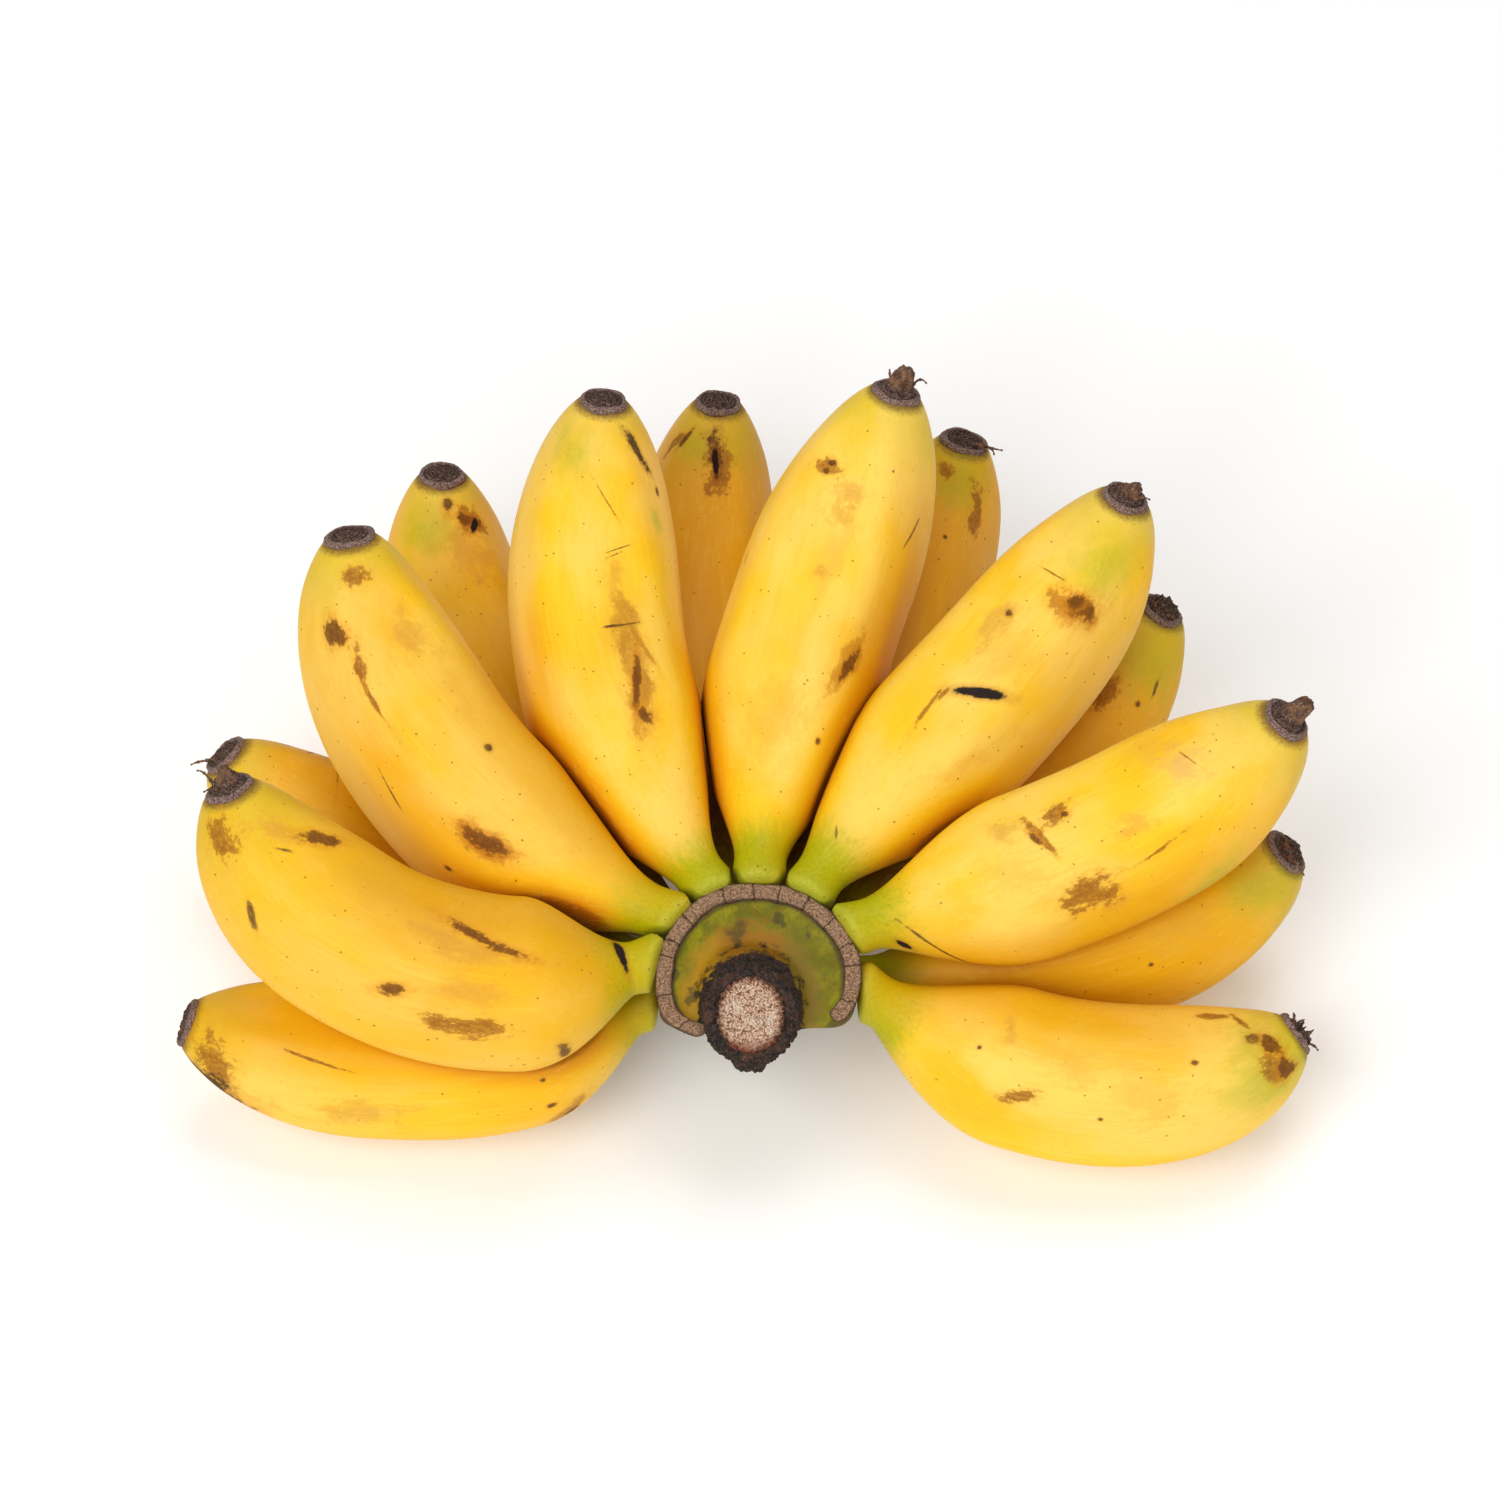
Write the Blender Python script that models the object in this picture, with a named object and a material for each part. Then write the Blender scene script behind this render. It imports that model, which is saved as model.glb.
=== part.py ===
"""A hand of fourteen small bananas on one crown, lying on its back.

Lengths are in millimetres here and become metres when a mesh is made. +Z is up, the crown
faces -Y, and the fruits spread from it to both sides and away, with their tips curving up.
The finished hand stands on Z = 0 with the origin at the centre of its footprint.
"""

import bmesh
import bpy
import numpy as np

MM = 0.001
GAP = 0.4  # clearance between two grown pieces that touch

# The crown: a D-shaped pad, tilted towards -Y, that the stems grow from
CROWN_CENTRE = np.array([3.0, -48.0, 41.0])
CROWN_TILT = 20.0  # degrees from level
PAD_RADIUS = 18.4
PAD_SIDES = 36
PAD_CORNER = 2.5  # how far the two corners of the D are rounded
PAD_LEVELS = (  # height from the pad's rim, size as a share, and where the flat side of the D lies
    (-31.0, 0.55, 3.0),
    (-29.0, 0.80, 2.0),
    (-25.0, 0.95, 0.5),
    (-18.0, 1.0, -2.0),
    (-9.0, 1.0, -5.0),
    (0.8, 1.0, -8.5),
    (2.6, 0.97, -8.5),
    (3.2, 0.92, -8.3),
    (2.8, 0.85, -7.8),
    (1.6, 0.81, -7.4),
)
STUB_ELEVATION = 40.0  # the broken stalk points towards -Y and up
STUB_START = np.array([-1.4, 1.0, -9.0])  # in the pad's own axes
STUB_RADII = (11.5, 9.6)
STUB_LENGTH = 19.0

# Every banana
AROUND = 20
ALONG = (0.0, 0.03, 0.07, 0.12, 0.18, 0.26, 0.36, 0.48, 0.60, 0.71, 0.81, 0.89, 0.95, 0.985, 1.0)
SPINE_STEPS = 72
STEM_RADIUS = 5.3
STEM_ENDS = 0.055  # share of the length where the stem starts to widen
SHOULDER = 0.6  # share of the length where the body starts to close
TIP_RADIUS = 4.6
FOOT_FLARE = 1.2
FOOT_REACH = 0.02
RIDGES = 5
RIDGE_DEPTH = 0.02
FOOT_CLEARANCE = 0.9
FOOT_SLIDE = 1.5  # the most that a point of the foot moves back along the stem to meet the pad

# Dried flower remnants: (height, radius) pairs up from the banana's end
FLOWER_SIDES = 14
FLAT_FLOWER = ((0.0, 4.3), (1.1, 4.5), (2.2, 3.9), (2.2, 2.4), (1.5, 1.2))
STUB_FLOWER = ((0.0, 4.3), (1.2, 4.4), (2.4, 3.4), (3.6, 1.9), (5.4, 1.4), (6.2, 1.0))
FLOWER_GAP = 0.3


class Banana:
    """One fruit: where it grows on the crown, which way it points and how it bends.

    at: place round the crown, in degrees anticlockwise from +X. drop: how far below the rim.
    turn and rise: heading and slope in degrees at the stem, at mid length and at the tip.
    full: share of the length where the body is full.
    """

    def __init__(self, name, at, drop, turn, rise, length, radius, flower, full=0.43):
        self.name = name
        self.at = at
        self.drop = drop
        self.turn = turn
        self.rise = rise
        self.length = length
        self.radius = radius
        self.flower = flower
        self.full = full


UPPER_ROW = (
    Banana("upper_banana_1", 165, 0, (200, 166, 128), (-6, 16, 60), 101, 17.0, FLAT_FLOWER, 0.28),
    Banana("upper_banana_2", 139, 0, (158, 132, 106), (-2, 15, 65), 110, 17.5, FLAT_FLOWER),
    Banana("upper_banana_3", 114, 0, (124, 102, 75), (0, 15, 68), 114, 17.3, FLAT_FLOWER),
    Banana("upper_banana_4", 90, 0, (86, 74, 49), (0, 15, 66), 114, 17.5, STUB_FLOWER),
    Banana("upper_banana_5", 63, 0, (60, 46, 41), (0, 15, 65), 109, 16.8, STUB_FLOWER),
    Banana("upper_banana_6", 33, 0, (20, 18, 13), (-4, 15, 60), 101, 16.7, STUB_FLOWER, 0.38),
    Banana("upper_banana_7", 2, 4, (-20, -5, 28), (-34, -9, 20), 93, 15.8, STUB_FLOWER, 0.38),
)
LOWER_ROW = (
    Banana("lower_banana_1", 173, 16, (206, 181, 172), (-18, -2, 20), 96, 15.3, FLAT_FLOWER, 0.30),
    Banana("lower_banana_2", 153, 22, (164, 152, 152), (-10, 3, 46), 105, 17.6, FLAT_FLOWER),
    Banana("lower_banana_3", 128, 24, (138, 117, 91), (-8, 6, 71), 128, 16.5, FLAT_FLOWER),
    Banana("lower_banana_4", 100, 24, (104, 92, 74), (-8, 6, 70), 128, 16.5, FLAT_FLOWER),
    Banana("lower_banana_5", 76, 24, (76, 71, 53), (-8, 6, 68), 124, 16.5, STUB_FLOWER),
    Banana("lower_banana_6", 48, 24, (50, 46, 34), (-8, 5, 60), 107, 16.3, FLAT_FLOWER),
    Banana("lower_banana_7", 18, 21, (16, 15, 14), (-10, 2, 50), 95, 16.0, STUB_FLOWER),
)
BANANAS = UPPER_ROW + LOWER_ROW

PEEL_YELLOW = (0.82, 0.52, 0.05, 1.0)
CROWN_GREEN = (0.20, 0.21, 0.04, 1.0)
DRIED_BROWN = (0.09, 0.05, 0.03, 1.0)


def clear_scene():
    for obj in list(bpy.data.objects):
        bpy.data.objects.remove(obj, do_unlink=True)


def make_material(name, colour, roughness):
    material = bpy.data.materials.new(name)
    material.use_nodes = True
    shader = material.node_tree.nodes["Principled BSDF"]
    shader.inputs["Base Color"].default_value = colour
    shader.inputs["Roughness"].default_value = roughness
    shader.inputs["Metallic"].default_value = 0.0
    return material


def smooth_step(x):
    x = np.clip(x, 0.0, 1.0)
    return x * x * (3.0 - 2.0 * x)


def through_three(values, t):
    """The parabola through a value at the start, the middle and the end."""
    start, middle, end = values
    return start * (1 - t) * (1 - 2 * t) + 4 * middle * t * (1 - t) + end * t * (2 * t - 1)


def pad_axes():
    """The pad's own axes: across, depth away from the stub, and the normal of its face."""
    tilt = np.radians(CROWN_TILT)
    across = np.array([1.0, 0.0, 0.0])
    depth = np.array([0.0, np.cos(tilt), np.sin(tilt)])
    normal = np.array([0.0, -np.sin(tilt), np.cos(tilt)])
    return np.stack([across, depth, normal])


def from_pad(points):
    return CROWN_CENTRE + np.asarray(points) @ pad_axes()


def to_pad(points):
    return (np.asarray(points) - CROWN_CENTRE) @ pad_axes().T


def spine_of(banana):
    """Points along the middle of the fruit, from the crown to the tip."""
    at = np.radians(banana.at)
    reach = PAD_RADIUS + FOOT_CLEARANCE
    start = from_pad([reach * np.cos(at), reach * np.sin(at), -banana.drop])
    t = (np.arange(SPINE_STEPS) + 0.5) / SPINE_STEPS
    turn = np.radians(through_three(banana.turn, t))
    rise = np.radians(through_three(banana.rise, t))
    steps = np.stack([np.cos(rise) * np.cos(turn), np.cos(rise) * np.sin(turn), np.sin(rise)], axis=1)
    return np.vstack([start, start + np.cumsum(steps * banana.length / SPINE_STEPS, axis=0)])


def radius_of(banana, t):
    """Radius at a share of the length: stem, swelling body and closing tip."""
    swell = smooth_step(np.clip((t - STEM_ENDS) / (banana.full - STEM_ENDS), 0, 1) ** 0.75)
    body = STEM_RADIUS + (banana.radius - STEM_RADIUS) * swell
    closing = (1 - np.clip((t - SHOULDER) / (1 - SHOULDER), 0, 1) ** 2.4) ** 0.8
    flare = FOOT_FLARE * np.exp(-t / FOOT_REACH)
    return TIP_RADIUS + (body - TIP_RADIUS) * closing + flare


def rings_of(banana):
    """The middle of each section, the way it faces and its points, before the fruits press together."""
    spine = spine_of(banana)
    share = np.linspace(0, 1, len(spine))
    t = np.array(ALONG)
    middles = np.stack([np.interp(t, share, spine[:, k]) for k in range(3)], axis=1)
    slope = np.gradient(spine, axis=0)
    ways = np.stack([np.interp(t, share, slope[:, k]) for k in range(3)], axis=1)
    ways /= np.linalg.norm(ways, axis=1)[:, None]
    side = np.cross(ways, [0.0, 0.0, 1.0])
    side /= np.linalg.norm(side, axis=1)[:, None]
    up = np.cross(side, ways)
    angle = np.arange(AROUND) * 2 * np.pi / AROUND
    ridge = RIDGE_DEPTH * smooth_step((t - 0.12) / 0.3) * (1 - smooth_step((t - 0.85) / 0.15))
    radius = radius_of(banana, t)[:, None] * (1 + ridge[:, None] * np.cos(RIDGES * (angle + np.pi / 2)))
    points = middles[:, None] + radius[..., None] * (
        np.cos(angle)[None, :, None] * side[:, None] + np.sin(angle)[None, :, None] * up[:, None]
    )
    return middles, ways, points


def set_foot(points, way):
    """Slides the first section along the stem until it meets the round of the pad."""
    local = to_pad(points[0])
    local_way = pad_axes() @ way
    reach = PAD_RADIUS + FOOT_CLEARANCE
    a = local_way[:2] @ local_way[:2]
    b = local[:, :2] @ local_way[:2]
    c = (local[:, :2] ** 2).sum(axis=1) - reach**2
    slide = np.maximum((-b + np.sqrt(np.maximum(b * b - a * c, 0.0))) / a, -FOOT_SLIDE)
    points[0] += slide[:, None] * way


def distance_beyond(points, spine, radius):
    """How far each point is outside a neighbour's round body."""
    apart = np.linalg.norm(points[:, None] - spine[None], axis=2) - radius[None]
    return apart.min(axis=1)


def press_together(all_rings):
    """Flattens each fruit where it meets its neighbours, half the way each, and leaves GAP between."""
    share = np.linspace(0, 1, SPINE_STEPS + 1)
    spines = [spine_of(banana) for banana in BANANAS]
    radii = [radius_of(banana, share) for banana in BANANAS]
    pressed = []
    for i, (middles, _, points) in enumerate(all_rings):
        centres = np.repeat(middles[:, None], AROUND, axis=1).reshape(-1, 3)
        outer = points.reshape(-1, 3)
        own = np.repeat(radius_of(BANANAS[i], np.array(ALONG)), AROUND)
        full = np.linalg.norm(outer - centres, axis=1)
        for j, spine in enumerate(spines):
            if j == i:
                continue
            low = np.zeros(len(outer))
            high = np.ones(len(outer))
            for _ in range(30):
                share_out = (low + high) / 2
                trial = centres + share_out[:, None] * (outer - centres)
                beyond = distance_beyond(trial, spine, radii[j])
                clear = beyond - (share_out * full - own) >= GAP
                low = np.where(clear, share_out, low)
                high = np.where(clear, high, share_out)
            fits = distance_beyond(outer, spine, radii[j]) - (full - own) >= GAP
            keep = np.where(fits, 1.0, low)
            outer = centres + keep[:, None] * (outer - centres)
            full = full * keep
        outer[:, 2] = np.maximum(outer[:, 2], 0.0)
        pressed.append(outer.reshape(points.shape))
    return pressed


def mesh_object(name, bm, material, smooth=True):
    bmesh.ops.recalc_face_normals(bm, faces=bm.faces)
    mesh = bpy.data.meshes.new(name)
    bm.to_mesh(mesh)
    bm.free()
    if smooth:
        mesh.shade_smooth()
        mesh.set_sharp_from_angle(angle=np.radians(50))
    obj = bpy.data.objects.new(name, mesh)
    obj.data.materials.append(material)
    bpy.context.scene.collection.objects.link(obj)
    return obj


def skin_rings(rings, start, end):
    """A closed skin over rings of points, with a fan at each end."""
    bm = bmesh.new()
    loops = [[bm.verts.new(point * MM) for point in ring] for ring in rings]
    count = len(loops[0])
    for here, there in zip(loops, loops[1:]):
        for k in range(count):
            after = (k + 1) % count
            bm.faces.new((here[k], here[after], there[after], there[k]))
    for loop, middle in ((loops[0], start), (loops[-1], end)):
        hub = bm.verts.new(middle * MM)
        for k in range(count):
            bm.faces.new((loop[k], loop[(k + 1) % count], hub))
    return bm


def make_banana(banana, points, material):
    hub = points[0].mean(axis=0)
    local = to_pad(hub)
    local[:2] *= (PAD_RADIUS + FOOT_CLEARANCE) / np.linalg.norm(local[:2])
    return mesh_object(banana.name, skin_rings(points, from_pad(local), points[-1].mean(axis=0)), material)


def make_flower(banana, middle, way, material):
    """The dead remnant of the flower, seated on the end of the fruit."""
    side = np.cross(way, [0.0, 0.0, 1.0])
    side /= np.linalg.norm(side)
    up = np.cross(side, way)
    angle = np.arange(FLOWER_SIDES) * 2 * np.pi / FLOWER_SIDES
    rim = np.cos(angle)[:, None] * side + np.sin(angle)[:, None] * up
    rings = [middle + (FLOWER_GAP + height) * way + radius * rim for height, radius in banana.flower]
    top = middle + (FLOWER_GAP + banana.flower[-1][0]) * way
    name = banana.name.replace("banana", "flower_end")
    return mesh_object(name, skin_rings(rings, middle + FLOWER_GAP * way, top), material)


def make_crown(material):
    """The D-shaped pad, drawn in by level, with the broken stalk joined to it."""
    angle = np.arange(PAD_SIDES) * 2 * np.pi / PAD_SIDES
    rings = []
    for level, size, front in PAD_LEVELS:
        across = size * PAD_RADIUS * np.cos(angle)
        depth = size * PAD_RADIUS * np.sin(angle)
        depth = (depth + front + np.sqrt((depth - front) ** 2 + PAD_CORNER**2)) / 2
        rings.append(from_pad(np.column_stack([across, depth, np.full(PAD_SIDES, level)])))
    crown = mesh_object("crown", skin_rings(rings, rings[0].mean(axis=0), rings[-1].mean(axis=0)), material)
    bm = bmesh.new()
    bmesh.ops.create_cone(
        bm,
        cap_ends=True,
        segments=24,
        radius1=STUB_RADII[0] * MM,
        radius2=STUB_RADII[1] * MM,
        depth=STUB_LENGTH * MM,
    )
    bmesh.ops.translate(bm, verts=bm.verts, vec=(0, 0, STUB_LENGTH * MM / 2))
    stub = mesh_object("stub_join", bm, material)
    stub.location = from_pad(STUB_START) * MM
    stub.rotation_euler = (np.radians(90 - STUB_ELEVATION), 0, 0)
    stub.hide_render = True
    stub.display_type = "WIRE"
    join = crown.modifiers.new("stub", "BOOLEAN")
    join.operation = "UNION"
    join.solver = "EXACT"
    join.object = stub
    return crown


def stand_on_floor(objects):
    """Moves the hand so that it stands on Z = 0, centred on its footprint."""
    corners = np.concatenate([[v.co[:] for v in obj.data.vertices] for obj in objects])
    low = corners.min(axis=0)
    high = corners.max(axis=0)
    shift = -np.array([(low[0] + high[0]) / 2, (low[1] + high[1]) / 2, low[2]])
    for obj in bpy.data.objects:
        if obj.type == "MESH":
            obj.location = np.array(obj.location) + shift


def main():
    clear_scene()
    peel = make_material("banana_peel", PEEL_YELLOW, 0.45)
    green = make_material("crown_skin", CROWN_GREEN, 0.6)
    dried = make_material("dried_flower", DRIED_BROWN, 0.9)
    all_rings = [rings_of(banana) for banana in BANANAS]
    for middles, ways, points in all_rings:
        set_foot(points, ways[0])
    shapes = press_together(all_rings)
    made = [make_crown(green)]
    for banana, (middles, ways, _), points in zip(BANANAS, all_rings, shapes):
        made.append(make_banana(banana, points, peel))
        made.append(make_flower(banana, middles[-1], ways[-1], dried))
    stand_on_floor(made)


main()
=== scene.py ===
import math

import bpy
import numpy as np
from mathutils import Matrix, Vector


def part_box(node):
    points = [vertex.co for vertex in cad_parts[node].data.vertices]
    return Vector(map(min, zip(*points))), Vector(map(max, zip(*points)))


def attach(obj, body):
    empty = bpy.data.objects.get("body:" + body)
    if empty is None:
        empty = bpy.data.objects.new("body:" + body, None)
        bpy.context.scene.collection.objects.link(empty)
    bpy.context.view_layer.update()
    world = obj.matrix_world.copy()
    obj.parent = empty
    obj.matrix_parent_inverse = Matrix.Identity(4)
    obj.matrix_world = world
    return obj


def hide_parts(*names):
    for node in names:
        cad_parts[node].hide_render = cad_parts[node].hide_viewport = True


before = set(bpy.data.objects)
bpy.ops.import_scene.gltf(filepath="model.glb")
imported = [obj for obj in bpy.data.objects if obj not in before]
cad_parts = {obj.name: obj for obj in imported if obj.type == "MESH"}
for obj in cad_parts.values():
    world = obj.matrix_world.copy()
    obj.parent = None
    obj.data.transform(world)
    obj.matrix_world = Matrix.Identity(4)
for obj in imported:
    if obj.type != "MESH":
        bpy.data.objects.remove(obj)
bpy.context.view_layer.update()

mm = 0.001
print("frame loaded")

# small helpers


def deselectAll():
    if bpy.context.mode != "OBJECT":
        bpy.ops.object.mode_set(mode="OBJECT")
    bpy.ops.object.select_all(action="DESELECT")


def pickOnly(piece):
    deselectAll()
    piece.select_set(True)
    bpy.context.view_layer.objects.active = piece


def namePiece(name):
    piece = bpy.context.object
    piece.name = name
    piece.data.name = name
    return piece


def readPoints(piece):
    points = np.empty(len(piece.data.vertices) * 3)
    piece.data.vertices.foreach_get("co", points)
    return points.reshape(-1, 3)


def writePoints(piece, points):
    piece.data.vertices.foreach_set("co", np.asarray(points, dtype=float).ravel())
    piece.data.update()


def storeVectors(piece, name, vectors):
    layer = piece.data.attributes.new(name, "FLOAT_VECTOR", "POINT")
    layer.data.foreach_set("vector", np.asarray(vectors, dtype=float).ravel())


def closeMesh(piece, mergeWithin=1e-5):
    pickOnly(piece)
    bpy.ops.object.mode_set(mode="EDIT")
    bpy.ops.mesh.select_all(action="SELECT")
    bpy.ops.mesh.remove_doubles(threshold=mergeWithin)
    bpy.ops.mesh.select_all(action="DESELECT")
    bpy.ops.mesh.select_mode(type="EDGE")
    bpy.ops.mesh.select_non_manifold()
    bpy.ops.mesh.fill_holes(sides=0)
    bpy.ops.mesh.select_mode(type="VERT")
    bpy.ops.mesh.select_all(action="SELECT")
    bpy.ops.mesh.normals_make_consistent(inside=False)
    bpy.ops.object.mode_set(mode="OBJECT")
    bpy.ops.object.shade_smooth()


def handOver(piece, node, material):
    piece.data.materials.clear()
    piece.data.materials.append(material)
    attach(piece, "root")
    if node:
        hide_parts(node)


def smoothStep(x):
    x = np.clip(x, 0.0, 1.0)
    return x * x * (3.0 - 2.0 * x)


def unit(vectors):
    return vectors / np.linalg.norm(vectors, axis=-1, keepdims=True)


def crossways(way, guide=(0.0, 0.0, 1.0)):
    # two directions square to a way: sideways and upwards
    side = unit(np.cross(way, guide))
    return side, np.cross(side, way)


def wobble(points, size, seed):
    # a cheap smooth noise: a few crossed sine waves
    rng = np.random.default_rng(seed)
    total = np.zeros(len(points))
    for _ in range(6):
        way = rng.normal(size=3)
        way *= rng.uniform(0.6, 1.6) / (np.linalg.norm(way) * size)
        total += np.sin(points @ way * 2 * math.pi + rng.uniform(0, 6.3))
    return total / 3.0


# the view
view = {"aim": (0.0006, -0.0020, 0.0406), "elevation": 52, "distance": 1.25, "lens": 150}

slope = math.radians(view["elevation"])
bpy.ops.object.camera_add()
camera = bpy.context.object
camera.name = "viewCamera"
camera.location = Vector(view["aim"]) + view["distance"] * Vector((0, -math.cos(slope), math.sin(slope)))
camera.rotation_euler = (math.pi / 2 - slope, 0, 0)
camera.data.lens = view["lens"]
camera.data.sensor_width = 36
camera.data.clip_start = 0.05
bpy.context.scene.camera = camera
bpy.context.scene.view_settings.view_transform = "Standard"

# floor and light
stage = {"floorSize": 6.0, "floorTone": 0.9, "sky": 0.36, "glow": 0.12, "key": 14.5, "fill": 3.6, "top": 6.2}

bpy.ops.mesh.primitive_plane_add(size=stage["floorSize"])
floor = namePiece("studioFloor")
floorPaint = bpy.data.materials.new("paleFloor")
floorPaint.use_nodes = True
floorShader = floorPaint.node_tree.nodes["Principled BSDF"]
floorShader.inputs["Base Color"].default_value = (stage["floorTone"],) * 3 + (1,)
floorShader.inputs["Roughness"].default_value = 0.9
floorShader.inputs["Specular IOR Level"].default_value = 0.1
floorShader.inputs["Emission Color"].default_value = (1, 1, 1, 1)
floorShader.inputs["Emission Strength"].default_value = stage["glow"]
floor.data.materials.append(floorPaint)

sky = bpy.data.worlds.new("softSky")
sky.use_nodes = True
sky.node_tree.nodes["Background"].inputs["Color"].default_value = (1, 1, 1, 1)
sky.node_tree.nodes["Background"].inputs["Strength"].default_value = stage["sky"]
bpy.context.scene.world = sky


def softLight(name, place, size, power):
    bpy.ops.object.light_add(type="AREA", location=place)
    lamp = bpy.context.object
    lamp.name = name
    lamp.data.shape = "SQUARE"
    lamp.data.size = size
    lamp.data.energy = power
    lamp.rotation_euler = (Vector((0, 0, 0.03)) - Vector(place)).to_track_quat("-Z", "Y").to_euler()


softLight("keyLight", (-0.6, -0.9, 1.1), 1.0, stage["key"])
softLight("fillLight", (0.8, -1.0, 0.55), 0.9, stage["fill"])
softLight("topLight", (0.1, 0.35, 1.35), 0.8, stage["top"])
print("view, floor and light ready")

# where the crown sits: the middle of its pad, read from its box
padPlace = {"fromBack": 25.06 * mm, "aboveLowest": 28.06 * mm, "tilt": 20, "radius": 18.4 * mm}
crownLow, crownHigh = (Vector(corner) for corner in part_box("crown"))
crownCentre = np.array(
    [(crownLow.x + crownHigh.x) / 2, crownHigh.y - padPlace["fromBack"], crownLow.z + padPlace["aboveLowest"]]
)
crownTilt = math.radians(padPlace["tilt"])
padAxes = np.array(
    [
        [1, 0, 0],
        [0, math.cos(crownTilt), math.sin(crownTilt)],
        [0, -math.sin(crownTilt), math.cos(crownTilt)],
    ]
)


def fromPad(points):
    return crownCentre + np.asarray(points) @ padAxes


# the fourteen bananas
fruit = {
    "around": 80,
    "along": 96,
    "stemRadius": 5.0 * mm,
    "stemEnds": 0.06,
    "shoulder": 0.6,
    "tipRadius": 4.6 * mm,
    "footFlare": 1.5 * mm,
    "footReach": 0.024,
    "footRound": 2.8 * mm,
    "footSlide": 2.5 * mm,
    "slideFade": 6.0 * mm,
    "ridgeDepth": 0.032,
    "touchGap": 0.12 * mm,
    "touchRounds": 14,
    "footGap": 0.9 * mm,
    "shadeReach": 5.0 * mm,
    "swellPower": 0.78,
    "closePower": 2.4,
    "closeRound": 0.8,
    "endCrowding": 0.45,
}
# at: degrees round the crown; drop: mm below its rim; turn, rise: degrees at stem, middle and tip;
# size: length and radius in mm; full: share of the length where the body is full
# paintedShade: how far each fruit is painted a shaded orange, strongest on the back row
bananas = {
    "upper_banana_1": {
        "at": 165, "drop": 0, "turn": (200, 166, 128), "rise": (-6, 16, 60),
        "size": (101, 17.0), "full": 0.28, "paintedShade": 0.40,
    },
    "upper_banana_2": {
        "at": 139, "drop": 0, "turn": (158, 132, 106), "rise": (-2, 15, 65),
        "size": (110, 17.5), "paintedShade": 0.28,
    },
    "upper_banana_3": {
        "at": 114, "drop": 0, "turn": (124, 102, 75), "rise": (0, 15, 68),
        "size": (114, 17.3), "paintedShade": 0.08,
    },
    "upper_banana_4": {
        "at": 90, "drop": 0, "turn": (86, 74, 49), "rise": (0, 15, 66),
        "size": (114, 17.5), "paintedShade": 0.0,
    },
    "upper_banana_5": {
        "at": 63, "drop": 0, "turn": (60, 46, 41), "rise": (0, 15, 65),
        "size": (109, 16.8), "paintedShade": 0.08,
    },
    "upper_banana_6": {
        "at": 33, "drop": 0, "turn": (20, 18, 13), "rise": (-4, 15, 60),
        "size": (101, 16.7), "full": 0.38, "paintedShade": 0.04,
    },
    "upper_banana_7": {
        "at": 2, "drop": 4, "turn": (-20, -5, 28), "rise": (-34, -9, 20),
        "size": (93, 15.8), "full": 0.38, "paintedShade": 0.0,
    },
    "lower_banana_1": {
        "at": 173, "drop": 16, "turn": (206, 181, 172), "rise": (-18, -2, 20),
        "size": (96, 15.3), "full": 0.30, "paintedShade": 0.15,
    },
    "lower_banana_2": {
        "at": 153, "drop": 22, "turn": (164, 152, 152), "rise": (-10, 3, 46),
        "size": (105, 17.6), "paintedShade": 0.4,
    },
    "lower_banana_3": {
        "at": 128, "drop": 24, "turn": (138, 117, 91), "rise": (-8, 6, 71),
        "size": (128, 16.5), "paintedShade": 0.3,
    },
    "lower_banana_4": {
        "at": 100, "drop": 24, "turn": (104, 92, 74), "rise": (-8, 6, 70),
        "size": (128, 16.5), "paintedShade": 0.75,
    },
    "lower_banana_5": {
        "at": 76, "drop": 24, "turn": (76, 71, 53), "rise": (-8, 6, 68),
        "size": (124, 16.5), "paintedShade": 0.7,
    },
    "lower_banana_6": {
        "at": 48, "drop": 24, "turn": (50, 46, 34), "rise": (-8, 5, 60),
        "size": (107, 16.3), "paintedShade": 0.65,
    },
    "lower_banana_7": {
        "at": 18, "drop": 21, "turn": (16, 15, 14), "rise": (-10, 2, 50),
        "size": (95, 16.0), "paintedShade": 0.45,
    },
}


def throughThree(values, t):
    start, middle, end = values
    return start * (1 - t) * (1 - 2 * t) + 4 * middle * t * (1 - t) + end * t * (2 * t - 1)


def spineOf(spec, steps=120):
    at = math.radians(spec["at"])
    reach = padPlace["radius"] + fruit["footGap"]
    start = fromPad([reach * math.cos(at), reach * math.sin(at), -spec["drop"] * mm])
    t = (np.arange(steps) + 0.5) / steps
    turn = np.radians(throughThree(spec["turn"], t))
    rise = np.radians(throughThree(spec["rise"], t))
    strides = np.stack([np.cos(rise) * np.cos(turn), np.cos(rise) * np.sin(turn), np.sin(rise)], axis=1)
    return np.vstack([start, start + np.cumsum(strides * spec["size"][0] * mm / steps, axis=0)])


def radiusOf(spec, t):
    t = np.maximum(t, 0.0)
    begin = fruit["stemEnds"]
    swell = smoothStep(np.clip((t - begin) / (spec.get("full", 0.43) - begin), 0, 1) ** fruit["swellPower"])
    body = fruit["stemRadius"] + (spec["size"][1] * mm - fruit["stemRadius"]) * swell
    closed = np.clip((t - fruit["shoulder"]) / (1 - fruit["shoulder"]), 0, 1) ** fruit["closePower"]
    closing = (1 - closed) ** fruit["closeRound"]
    flare = fruit["footFlare"] * np.exp(-t / fruit["footReach"])
    return fruit["tipRadius"] + (body - fruit["tipRadius"]) * closing + flare


for spec in bananas.values():
    spec["spine"] = spineOf(spec)
    spec["thick"] = radiusOf(spec, np.linspace(0, 1, len(spec["spine"])))


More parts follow.
